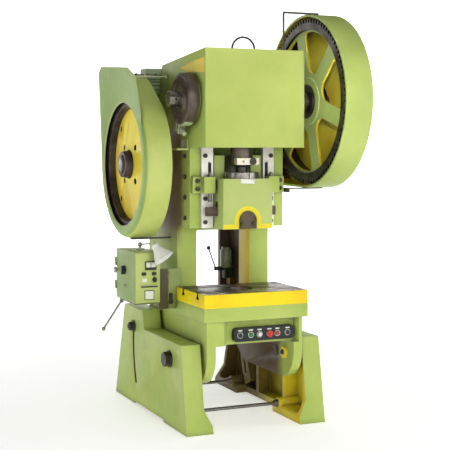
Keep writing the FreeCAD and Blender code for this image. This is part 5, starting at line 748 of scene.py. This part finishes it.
def slide_coat(middle, normal):
    """Bare where the slide runs in its guides, painted on its front, top and foot."""
    in_guide = abs(middle.x) > guide_half and middle.y > guide_line
    in_chamber = abs(middle.x) < chamber_half and middle.y > slide_low.y + 0.02
    return 1 if in_guide or in_chamber else 0


coated_casting("slide", "ram", [slide_paint, ground_sides], slide_coat,
               corner=0.0025)
bare_iron = worked_steel("rough cast iron, oil-soaked", "#5C5040", "#2E2820", 0.5,
                         scratch=(160.0, 160.0, 160.0))
finished(bare_iron, "shank_clamp")
finished(black_forging, "shank_clamp_nuts")
finished(worked_steel("forged bar, brown with oil", "#64524A", "#2E2620", 0.5,
                      scratch=(90.0, 90.0, 90.0), metal=0.4), "knockout_bar")

# a bare white plate on the slide's upper front, held by two drive pins
white_plate = enamel("stoved white enamel plate", "#EDEFE6", "#E2E6D8", swell=0.2)
flat_plate("slide_plate", "ram", white_plate,
           [(x, slide_low.y - 0.0022, z) for x, z in
            ((-0.053, 1.588), (0.047, 1.584), (0.047, 1.614), (-0.053, 1.618))],
           (0, 0.0019, 0))
plated_steel = worked_steel("zinc-plated steel", "#B8BCAE", "#8C9080", 0.32, oil=0.3)
screws("slide_plate_pins", "ram", plated_steel,
       [((x, slide_low.y - 0.0032, 1.601), (0, -1, 0)) for x in (-0.045, 0.039)], 0.003, 0.002,
       sides=12, socket=0.0004)

# ----------------------------------------
# Gear: a spoked casting on the crankshaft's right end. Its cut teeth and rim are bare
# iron, dark with grease, its web is green, and the walls of the web's windows are yellow.

gear_axis = Vector((0, -0.475, 2.135))
gear_low, gear_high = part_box("gear")
gear_left, gear_right = gear_low.x + 0.008, gear_high.x
gear_teeth, tooth_root, tooth_tip = 91, 0.5305, 0.5575
rim_inner, hub_outer, gear_bore, collar = 0.484, 0.115, 0.0655, 0.165
web_left, web_right = 0.495, 0.513
window_count, window_start, window_near, window_far = 6, 74, 0.2, 0.474
spoke_half, window_corner = 0.056, 0.045
greasy_iron = worked_steel("cut iron teeth, dark with grease", "#4E483E", "#26221C", 0.34,
                           oil=0.8)
web_green = enamel("green enamel on the gear's web", "#B4C470", "#A0B264", corner_darkening=0.3)
wheel_yellow = enamel("yellow enamel on the wheels' webs", "#F6E444", "#EAC836",
                      corner_grime_and_shade="#6A5224", chipped="#F6F0B0", corner_darkening=0.2)


def out_from(axis, place):
    """How far a place lies from an axis across the press."""
    return math.hypot(place.y - axis.y, place.z - axis.z)


def gear_spot(across, reach, turn):
    """A point by its distance along the shaft, its radius and its angle, in radians up
    from the front."""
    return Vector((across, gear_axis.y - reach * math.cos(turn),
                   gear_axis.z + reach * math.sin(turn)))


def tooth_phase():
    """The angle of one tooth's middle, so that the teeth stay in mesh with the pinion."""
    east = north = 0.0
    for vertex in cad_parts["gear"].data.vertices:
        if out_from(gear_axis, vertex.co) > tooth_tip:
            turn = gear_teeth * math.atan2(vertex.co.z - gear_axis.z,
                                           gear_axis.y - vertex.co.y)
            east, north = east + math.cos(turn), north + math.sin(turn)
    return math.atan2(north, east) / gear_teeth


def ring_body(shape, loops, turns):
    """A closed ring: each loop is a distance along the shaft, and its radius or the radii
    that its turns repeat."""
    rings = []
    for across, radii in loops:
        radii = radii if isinstance(radii, tuple) else (radii,)
        rings.append([shape.verts.new(gear_spot(across, radii[step % len(radii)], turn))
                      for step, turn in enumerate(turns)])
    skin_between(shape, rings + rings[:1])


def web_outline(curve, points):
    """A closed outline on a flat curve."""
    line = curve.splines.new("POLY")
    line.points.add(len(points) - 1)
    for target, (front, up) in zip(line.points, points):
        target.co = (front, up, 0, 1)
    line.use_cyclic_u = True


def window_points(middle):
    """One window's outline between two spokes with parallel sides, its corners rounded."""
    half_near = math.pi / window_count - math.asin(spoke_half / window_near)
    half_far = math.pi / window_count - math.asin(spoke_half / window_far)
    sharp = [(window_near, -half_near), (window_far, -half_far)]
    sharp += [(window_far, -half_far * (1 - step / 6)) for step in range(1, 12)]
    sharp += [(window_far, half_far), (window_near, half_near)]
    flat = [(reach * math.cos(middle + turn), reach * math.sin(middle + turn))
            for reach, turn in sharp]
    near_width, rounded = math.dist(flat[0], flat[-1]), []
    for index, spot in enumerate(flat):
        if index not in (0, 1, len(flat) - 2, len(flat) - 1):
            if min(math.dist(spot, flat[1]), math.dist(spot, flat[-2])) > window_corner:
                rounded.append(spot)
            continue
        before, after = flat[index - 1], flat[(index + 1) % len(flat)]
        at_hub = index in (0, len(flat) - 1)
        size = min(window_corner, 0.46 * near_width) if at_hub else window_corner
        ends = []
        for other in (before, after):
            share = size / max(math.dist(spot, other), size)
            ends.append([spot[axis] + share * (other[axis] - spot[axis]) for axis in (0, 1)])
        for step in range(7):
            s = step / 6
            rounded.append(tuple((1 - s) ** 2 * ends[0][axis] + 2 * s * (1 - s) * spot[axis]
                                 + s ** 2 * ends[1][axis] for axis in (0, 1)))
    return [spot for index, spot in enumerate(rounded)
            if math.dist(spot, rounded[index - 1]) > 0.004]


shape = bmesh.new()
phase = tooth_phase()
tooth = 2 * math.pi / gear_teeth
steps = [phase + tooth * (index + share) for index in range(gear_teeth)
         for share in (-0.24, -0.11, 0.11, 0.24)]
toothed = (tooth_root, tooth_tip, tooth_tip, tooth_root)
ring_body(shape, [(gear_left, toothed), (gear_right, toothed),
                  (gear_right, rim_inner + 0.003), (gear_right - 0.003, rim_inner),
                  (gear_left + 0.003, rim_inner), (gear_left, rim_inner + 0.003)], steps)
round_turns = round_angles(96)
ring_body(shape, [(gear_low.x, gear_bore), (gear_low.x, hub_outer - 0.004),
                  (gear_low.x + 0.004, hub_outer), (gear_right - 0.004, hub_outer),
                  (gear_right, hub_outer - 0.004), (gear_right, gear_bore)], round_turns)
ring_body(shape, [(web_left - 0.008, hub_outer - 0.01), (web_left - 0.008, collar - 0.006),
                  (web_left - 0.003, collar), (web_right - 0.002, collar),
                  (web_right - 0.002, hub_outer - 0.01)], round_turns)
drawing = bpy.data.curves.new("gear_web_outline", "CURVE")
drawing.dimensions = "2D"
drawing.fill_mode = "BOTH"
drawing.extrude = (web_right - web_left) / 2 - 0.003
drawing.bevel_depth = 0.003
drawing.bevel_resolution = 2
for radius, turns in ((rim_inner + 0.008, round_turns), (0.1, round_turns[::2])):
    web_outline(drawing, [(radius * math.cos(turn), radius * math.sin(turn))
                          for turn in turns])
for turn in round_angles(window_count):
    web_outline(drawing, window_points(math.radians(window_start) + turn))
web = bpy.data.objects.new("gear_web_outline", drawing)
STUDIO.collection.objects.link(web)
web_mesh = mesh_made_by(web)
bpy.data.objects.remove(web)
first = len(shape.verts)
shape.from_mesh(web_mesh)
shape.verts.ensure_lookup_table()
for point in shape.verts[first:]:
    front, up, across = point.co
    point.co = Vector(((web_left + web_right) / 2 + across, gear_axis.y - front,
                       gear_axis.z + up))
bmesh.ops.remove_doubles(shape, verts=shape.verts[first:], dist=0.00002)
bmesh.ops.recalc_face_normals(shape, faces=shape.faces)
for face in shape.faces:
    reach = sum(out_from(gear_axis, vertex.co) for vertex in face.verts) / len(face.verts)
    on_web = web_left - 0.009 < face.calc_center_median().x < web_right + 0.001
    in_window = on_web and collar + 0.005 < reach < rim_inner and abs(face.normal.x) < 0.3
    on_green = on_web and hub_outer - 0.003 < reach < rim_inner + 0.01
    face.material_index = 2 if in_window else 1 if on_green else 0
declare(built("gear_wheel", shape, [greasy_iron, web_green, wheel_yellow]), "bull_gear",
        "gear")
finished(black_forging, "gear_retainer")
finished(turned_steel, "drive_shaft")

# ----------------------------------------
# Flywheel: an iron wheel on the drive shaft's left end, enamelled yellow between its
# turned rim and its dark hub. V-belts of black rubber and cloth run in its grooves.

wheel_axis = Vector((0, 0.005, 1.709))
wheel_low, wheel_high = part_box("flywheel")
rim_iron = worked_steel("turned iron rim, brown with grease", "#4E453B", "#241F1A", 0.42,
                        scratch=(500.0, 60.0, 60.0), oil=0.7, metal=0.5)
hub_iron = worked_steel("iron hub, dark with oil", "#55443F", "#2C2422", 0.45,
                        scratch=(90.0, 90.0, 90.0), oil=0.7, metal=0.4)
web_rise, web_edge, hub_reach, hub_end = 0.03, 0.384, 0.1, -0.676
hub_cast, hub_radius = 0.09, 0.087


def wheel_coat(middle, normal):
    """Yellow on the web, dark on the rim and inside it, brown on the hub."""
    reach = out_from(wheel_axis, middle)
    if reach < hub_reach - 0.004:
        return 2
    return 1 if reach < web_edge and abs(normal.x) > 0.4 else 0


def dished_web(place):
    """The web bulges to the left towards a slim hub that stands out of the wheel."""
    reach = out_from(wheel_axis, place)
    if reach < hub_reach and place.x < wheel_low.x + 0.012:
        slim = hub_radius / hub_cast
        return Vector((hub_end, wheel_axis.y + slim * (place.y - wheel_axis.y),
                       wheel_axis.z + slim * (place.z - wheel_axis.z)))
    in_rim = wheel_low.x + 0.03 < place.x < wheel_high.x - 0.03
    if in_rim and hub_reach - 0.0035 < reach < web_edge:
        share = (reach - hub_reach) / (web_edge - hub_reach)
        return place - Vector((web_rise * (1 - share), 0, 0))
    return place


coated_casting("flywheel", "drive", [rim_iron, wheel_yellow, hub_iron],
               wheel_coat, corner=0.002, shift=dished_web)
finished(hub_iron, "flywheel_nut")
# cloth-wrapped rubber: dull black with a weave 1.2 mm apart, drawn at 2 mm so that it
# shows, and paler dust on it. IOR 1.52
belt_rubber = mottled("cloth-wrapped rubber belt", "#17181A", "#45443F", (18.0, 6.0),
                      (500.0, 1.0), (0.4, 0.001), Roughness=0.72, IOR=1.52)
finished(belt_rubber, "v_belts")
finished(rim_iron, "motor_pulley")

# ----------------------------------------
# Motor: a foot-mounted motor with a ribbed iron shell and a cowled fan, on a welded
# steel base behind the head. Grey-green machine enamel, dusty between the ribs.

motor_green = enamel("grey-green motor enamel", "#A8B890", "#93A57A", corner_grime_and_shade="#2E3026",
                     chipped="#C6D0B4", swell=0.5)
coated_casting("motor", "press_frame", [motor_green], corner=0.0012)
coated_casting("motor_base", "press_frame", [sheet_green], corner=0.002)

# ----------------------------------------
# Guards: rolled and welded sheet steel. The gear's drum is green outside and yellow
# within. The flywheel's hood is green outside, painted darker on its face and lighter on
# its band as shade and light, with a lip rubbed pale, and dark brown inside. Both hang on
# dark flat bars.

guard_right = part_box("gear_guard")[1].x
hood_low, hood_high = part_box("flywheel_guard")
# painted shade: this coat's corners darken to orange where shade falls inside the drum
inside_yellow = enamel("yellow enamel inside the gear guard", "#FAEC50", "#F2D440",
                       corner_grime_and_shade="#D08020", chipped="#F8F2B8", swell=0.4, corner_darkening=0.25)
# painted light and shade: one green, painted darker on the hood's face and lighter on its band
hood_face_shaded = enamel("green enamel on the hood's face, painted darker as shade", "#9AB45E", "#86A24E", swell=0.4,
                    corner_darkening=0.4)
hood_band_lit = enamel("green enamel on the hood's band, painted lighter as lit", "#C2CC74", "#B0C062", swell=0.4,
                   corner_darkening=0.4)
hood_inside = enamel("dark brown inside the hood", "#40382E", "#2C2620", swell=0.4)
lip_green = enamel("pale rubbed lip of the hood", "#D6DEB0", "#C6D29A", swell=0.3, corner_darkening=0.2)


def guard_coat(middle, normal):
    """Yellow on every face that looks into the drum, green on those that look out."""
    spoke = Vector((0, middle.y - gear_axis.y, middle.z - gear_axis.z)).normalized()
    looks_in = spoke.dot(normal) < -0.3
    end_inside = normal.x < -0.7 and middle.x > guard_right - 0.03
    return 1 if looks_in or end_inside else 0


guard_green = enamel("green enamel on the gear guard", "#B2C06C", "#A2B45E", swell=0.35)
coated_casting("gear_guard", "press_frame", [guard_green, inside_yellow],
               guard_coat, corner=0.0012)

hood_radius, opening, sheet, soft_edge, lip_depth = 0.5, 0.418, 0.003, 0.045, 0.012
plate_peaks = ((0.558, 0.636), (0.472, 0.692), (-0.119, 0.649), (-0.285, 0.582))
band_peaks = ((0.558, 0.630), (0.241, 0.618), (0.078, 0.609), (-0.005, 0.590),
              (-0.066, 0.559), (-0.127, 0.515))


def hull_of(peaks):
    """The taut outline round the hood's circle and its peaks, each a distance back and
    up from the wheel's axis."""
    spots = [(hood_radius * math.cos(turn), hood_radius * math.sin(turn))
             for turn in round_angles(144)] + list(peaks)
    return [spots[index] for index in convex_hull_2d(spots)]


def reach_of(outline, turn):
    """How far the outline lies from the axis at an angle."""
    ahead = Vector((math.cos(turn), math.sin(turn)))
    for spot, after in zip(outline, outline[1:] + outline[:1]):
        here, there = Vector(spot), Vector(after)
        edge = there - here
        across = ahead.x * edge.y - ahead.y * edge.x
        if abs(across) > 1e-9:
            reach = (here.x * edge.y - here.y * edge.x) / across
            share = (here.x * ahead.y - here.y * ahead.x) / across
            if reach > 0 and -1e-6 <= share <= 1 + 1e-6:
                return reach
    return hood_radius


peak_turns = [math.atan2(up, back) % (2 * math.pi) for back, up in plate_peaks + band_peaks]
hood_turns = sorted([turn for turn in round_angles(120)
                     if min(abs(turn - peak) for peak in peak_turns) > 0.012] + peak_turns)
plate_line, band_line = hull_of(plate_peaks), hull_of(band_peaks)
band_reach = [reach_of(band_line, turn) for turn in hood_turns]
# where the plate is no wider than the band, its edge gives way to the rounded corner
plate_reach, blend = [], 0.02
for turn, band in zip(hood_turns, band_reach):
    whole = reach_of(plate_line, turn)
    plate_reach.append(whole - soft_edge * max(0.0, 1 - (whole - band) / blend))
hood = bmesh.new()


def hood_ring(loops):
    """Rings of the hood's sheet: each a distance across and its reach at every angle."""
    rings = [[hood.verts.new((across, wheel_axis.y + reach * math.cos(turn),
                              wheel_axis.z + reach * math.sin(turn)))
              for turn, reach in zip(hood_turns, reaches)] for across, reaches in loops]
    skin_between(hood, rings + rings[:1])


def less(reaches, amount):
    """Reaches that all lie an amount further in."""
    return [reach - amount for reach in reaches]


left, right = hood_low.x, hood_high.x
hole = [opening] * len(hood_turns)
hood_ring([(left, plate_reach), (left, less(hole, -0.002)), (left + 0.001, hole),
           (left + lip_depth, hole), (left + lip_depth, less(hole, -sheet)),
           (left + sheet, less(hole, -sheet)), (left + sheet, plate_reach)])
arc = [math.radians(15 * step) for step in range(7)]
behind = 0.0012
hood_ring([(right, band_reach)]
          + [(left + offset + (soft_edge - inset) * (1 - math.sin(turn)),
              less(band_reach, inset + (soft_edge - inset) * (1 - math.cos(turn))))
             for offset, inset, run in ((behind, 0.0, arc), (sheet, sheet, arc[::-1]))
             for turn in run]
          + [(right, less(band_reach, sheet))])
bmesh.ops.recalc_face_normals(hood, faces=hood.faces)
for face in hood.faces:
    middle = face.calc_center_median()
    reach = out_from(wheel_axis, middle)
    outward = Vector((0, middle.y - wheel_axis.y, middle.z - wheel_axis.z)).normalized()
    face.smooth = True
    if reach < opening + 0.0025 and face.normal.dot(outward) < 0.5:
        face.material_index = 3
    elif face.normal.x < -0.75:
        face.material_index = 1
    elif face.normal.x > 0.3 or face.normal.dot(outward) < -0.3:
        face.material_index = 2
declare(built("flywheel_hood", hood, [hood_band_lit, hood_face_shaded, hood_inside, lip_green],
              sharp=30), "press_frame", "flywheel_guard")


def lowered_bar(place):
    """The hood's upper bar lies on its band, behind the tongue of its plate."""
    on_hood = place.x < -0.3 and place.z > 2.3
    return place + Vector((0, 0.075, -0.053)) if on_hood else place


bar_paint = enamel("dark grey primer on steel bar", "#5E6152", "#4A4B3E", corner_grime_and_shade="#22211B",
                   chipped="#B4B6A4", swell=0.4)
coated_casting("guard_brackets", "press_frame", [bar_paint], corner=0.0012,
               shift=lowered_bar)
# the pale stay rod from the hood to the head, with its nuts, and the bars' bolts
pale_zinc = worked_steel("yellowed zinc on a stay rod", "#DCE0B8", "#9AA070", 0.4, oil=0.3,
                         metal=0.3)
stay_line, stay_level = -0.006, 2.3085
turned("hood_stay", "press_frame", pale_zinc, (-0.6725, stay_line, stay_level),
       (1, 0, 0), [(0.0, 0.0045), (0.001, 0.0055), (0.3215, 0.0055), (0.3225, 0.0045)],
       steps=20)
screws("hood_stay_nuts", "press_frame", pale_zinc,
       [((across, stay_line, stay_level), (1, 0, 0))
        for across in (-0.660, -0.612, -0.515, -0.3595)], 0.0125, 0.010, sides=6,
       socket=0.0)
screws("hood_bar_bolts", "press_frame", black_forging,
       [((across, 0.130, 2.3325), (0, 0, 1)) for across in (-0.615, -0.530, -0.385)], 0.011,
       0.008, sides=6, socket=0.0)

# ----------------------------------------
# Control box: a folded sheet-steel cabinet on a welded bracket, its door on the left
# hung on two barrel hinges. Instruments, switches and a push-in gland are let into it.

cabinet_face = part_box("control_box")[0].y
# painted light and shade: the cabinet's green is painted lighter on its front and darker on
# the door at its left side
box_front_lit = enamel("green enamel on the cabinet's front", "#C0CC7C", "#B2C06E", swell=0.25)
box_door_shaded = enamel("green enamel on the cabinet's door, painted darker as shade", "#9BB06C", "#8CA45F", swell=0.3)
coated_casting("control_box", "press_frame", [box_front_lit], corner=0.0025)
coated_casting("control_box_door", "door", [box_door_shaded], corner=0.0025)
# painted shade: the bracket's side next to the cabinet is painted dark, as oil and as the
# shade that falls beside the cabinet
box_shade = ragged_zone(22.0, ("X", 0.03, -0.405, -0.418, 1.0))
bracket_green = enamel("green enamel, painted dark with shade beside the cabinet", "#98A860", "#828E4E",
                       zone=box_shade, second="#584F3A", corner_darkening=0.5)
coated_casting("box_bracket", "press_frame", [bracket_green], corner=0.0015)


def moulded(name, colour, deep, rough=0.38):
    """Compression-moulded plastic, smooth but for a faint mould grain, with a slight
    drift in its colour and finger grease on it. IOR 1.5."""
    material, tree, skin, place = finish_of(name)
    smear = add(tree, "ShaderNodeTexNoise", Vector=place, Scale=40.0, Detail=4.0)
    tone = add(tree, "ShaderNodeMix", data_type="RGBA", Factor=smear, A=linear(deep),
               B=linear(colour))
    sheen = add(tree, "ShaderNodeMapRange", Value=smear, From_Min=0.3, From_Max=0.7,
                To_Min=rough - 0.08, To_Max=rough + 0.1)
    pits = add(tree, "ShaderNodeTexNoise", Vector=place, Scale=300.0, Detail=2.0)
    edge = add(tree, "ShaderNodeBevel", samples=4, Radius=0.0008)
    bump = add(tree, "ShaderNodeBump", Height=pits, Strength=0.08, Distance=0.0006,
               Normal=edge)
    feed(skin, Base_Color=tone, Roughness=sheen, IOR=1.5, Normal=bump)
    return material


black_moulding = moulded("black phenolic moulding", "#232323", "#101010")
finished(black_moulding, "main_switch", "selector_switch", "box_instruments")

# what lies on the cabinet's front, each with its sides, its levels, how far it stands
# proud and its thickness: the meter's dial and pointer, bare labels, two rocker switches
# and a slot with a lip over it
for name, slot, finish, left, right, low, high, proud, thick in (
        ("meter_dial", "sheet_white", white_plate, -0.596, -0.531, 1.029, 1.062, 0.0075,
         0.0008),
        ("meter_pointer", "black_plastic", black_moulding, -0.565, -0.562, 1.018, 1.056,
         0.0083, 0.0008),
        ("bare_label", "sheet_white", white_plate, -0.602, -0.543, 0.817, 0.872, 0.0028,
         0.0008),
        ("bare_tag", "sheet_white", white_plate, -0.622, -0.588, 0.932, 0.956, 0.0016,
         0.0018),
        ("rocker_plate_left", "black_plastic", black_moulding, -0.627, -0.595, 0.977,
         0.995, 0.0025, 0.003),
        ("rocker_plate_right", "black_plastic", black_moulding, -0.555, -0.523, 0.977,
         0.995, 0.0025, 0.003),
        ("box_slot", "black_plastic", black_moulding, -0.632, -0.514, 0.895, 0.905,
         0.0012, 0.0014),
        ("slot_lip", "green_paint", box_front_lit, -0.636, -0.510, 0.905, 0.909, 0.004,
         0.0042)):
    front_plate(name, finish, (left, right), (low, high), cabinet_face - proud, thick)

# plated steel, filmed with oil where hands don't rub it bright
plated_bar = mottled("plated steel bar", "#6A6860", "#B4B2A8", (30.0, 5.0), (400.0, 2.0),
                     (0.1, 0.0005), Metallic=0.9, Roughness=0.3)
finished(plated_bar, "hand_lever")
screws("door_screws", "door", plated_steel,
       [((-0.6834, 0.118, level + rise), (-1, 0, 0))
        for level in (0.86, 1.05) for rise in (-0.014, 0.014)], 0.0032, 0.0022, sides=16,
       socket=0.0012)
turned("door_latch", "door", plated_steel, (-0.6836, -0.062, 0.891), (-1, 0, 0),
       [(-0.002, 0.009), (0.004, 0.009), (0.005, 0.008), (0.005, 0.004), (0.009, 0.004),
        (0.0095, 0.0035)])
turned("cable_gland", "press_frame", plated_steel, (-0.600, 0.150, 0.956),
       (0, 1, 0), [(-0.002, 0.016), (0.008, 0.016), (0.008, 0.013), (0.020, 0.013),
                   (0.024, 0.010), (0.024, 0.006)])
# a dark cable gland up the bracket's edge, and the grey knob by the door's hinge side
turned("bracket_gland", "press_frame", black_moulding,
       (-0.411, -0.2315, 0.774), (0, 0, 1),
       [(0.0, 0.009), (0.002, 0.012), (0.022, 0.0125), (0.026, 0.010), (0.044, 0.010),
        (0.048, 0.0125), (0.066, 0.012), (0.072, 0.006)])
turned("door_knob", "door", plated_steel, (-0.6836, 0.080, 0.985), (-1, 0, 0),
       [(-0.002, 0.008), (0.008, 0.007), (0.010, 0.017), (0.014, 0.020), (0.024, 0.020),
        (0.027, 0.016)])

# ----------------------------------------
# Button panel: a steel bar in black stoving enamel, let into the apron. It holds a green
# start button, a red mushroom stop button between small ones, and black buttons for both
# hands at its ends, all of moulded plastic.

# painted highlight: the panel's edges are painted pale, as rubbed wear and as the light line
# along its border
panel_enamel = enamel("black stoving enamel, rubbed and highlighted at its edge", "#343634", "#232423",
                      corner_grime_and_shade="#161513", chipped="#D8DAC8", swell=0.3)
finished(panel_enamel, "button_panel")
red_moulding = moulded("red moulded plastic", "#D8382C", "#A82018", 0.3)
green_moulding = moulded("green moulded plastic", "#2E8A48", "#1C6432", 0.3)
white_moulding = moulded("white moulded plastic", "#EEEEE8", "#D8D8D0", 0.3)
panel_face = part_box("button_panel")[0].y + 0.007
button_ring = worked_steel("plated button ring", "#E4E6E0", "#A8AAA2", 0.25, oil=0.2)
for node, plastic in (("left_hand_button", black_moulding), ("start_button", green_moulding),
                      ("inch_button", white_moulding), ("stop_button", red_moulding),
                      ("reset_button", red_moulding), ("right_hand_button", black_moulding)):
    finished(plastic, node)
    seat = sum(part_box(node), Vector()) / 2
    turned(f"ring_of_{node}", "press_frame", button_ring,
           (seat.x, panel_face + 0.001, seat.z), (0, -1, 0),
           [(0.0, 0.0205), (0.0035, 0.0205), (0.0045, 0.0195), (0.0045, 0.0172),
            (0.001, 0.0172)], steps=36)
    front_plate(f"tag_over_{node}", white_plate,
                (seat.x - 0.015, seat.x + 0.015), (seat.z + 0.026, seat.z + 0.035),
                panel_face - 0.001, 0.0014)

# ----------------------------------------
# Work lamp: a spun steel bell, stoved white inside and out, on a jointed plated arm. A
# frosted bulb sits in its porcelain holder.

white_stoved = enamel("white stoving enamel on spun steel", "#F4F4EE", "#E8E8DF",
                      corner_grime_and_shade="#9A9A88", chipped="#C8C8BC", swell=0.15)
finished(white_stoved, "worklight_head")
lamp_aim = Vector((-0.45, 0.45, 0.77)).normalized()
heights = [(vertex.co.dot(lamp_aim), vertex.co)
           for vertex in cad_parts["worklight_head"].data.vertices]
mouth_level = min(height for height, _ in heights)
mouth = [place for height, place in heights if height < mouth_level + 0.0004]
mouth_middle = sum((place.copy() for place in mouth), Vector()) / len(mouth)
turned("lamp_bulb", "lamp", white_moulding,
       mouth_middle + lamp_aim * 0.062, -lamp_aim,
       [(0.0, 0.012), (0.008, 0.013), (0.020, 0.022), (0.032, 0.026), (0.042, 0.024),
        (0.050, 0.016), (0.053, 0.006)])
finished(plated_steel, "worklight_arm")

# ----------------------------------------
# Hand-pumped lubricator in the throat: a dark green iron body with a filler cap and
# a plated lever, bolted beside the right pillar.

pump_green = enamel("dark green oil-soaked enamel", "#3C4A32", "#2A3424", corner_grime_and_shade="#15160F",
                    chipped="#8A9A78", swell=0.6)
oil_pot = moulded("smoky moulded oil pot", "#A8B296", "#70785E", 0.18)
brass_foot = worked_steel("cast brass, browned by oil", "#96763E", "#5C4426", 0.38, metal=0.6)
pot_level, foot_level = 0.958, 0.875


def pump_coat(middle, normal):
    """The oil pot above, the painted pump in the middle and its brass foot."""
    return 1 if middle.z > pot_level else 2 if middle.z < foot_level else 0


coated_casting("lubricator_pump", "press_frame",
               [pump_green, oil_pot, brass_foot], pump_coat, corner=0.0015)
ball_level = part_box("pump_lever")[1].z - 0.026
coated_casting("pump_lever", "oil_lever", [plated_bar, black_moulding], lambda middle,
               normal: 1 if middle.z > ball_level else 0, corner=0.0003)

# ----------------------------------------
# Flexible conduit: a ribbed steel hose in a black sheath, laid in a loop over the head.
# Its ends are screwed into two glands.


def hose_ribs(tree, place):
    """Ribs 3 mm apart that follow the loop's run across the head."""
    from_middle = add(tree, "ShaderNodeMapping", Vector=place, Location=(0.045, 0.6, -2.45))
    parts = add(tree, "ShaderNodeSeparateXYZ", Vector=from_middle)
    turn = add(tree, "ShaderNodeMath", operation="ARCTAN2", Value_0=parts.outputs["Z"],
               Value_1=parts.outputs["X"])
    count = add(tree, "ShaderNodeMath", operation="MULTIPLY", Value_0=turn, Value_1=190.0)
    return add(tree, "ShaderNodeMath", operation="SINE", Value_0=count)


# black-sheathed steel, dusty between its ribs. IOR 1.5
ribbed_hose = mottled("black sheathed ribbed hose", "#1E1E1C", "#54544C", (50.0, 4.0),
                      hose_ribs, (0.6, 0.0012), Roughness=0.5, IOR=1.5)
finished(ribbed_hose, "conduit_loop")
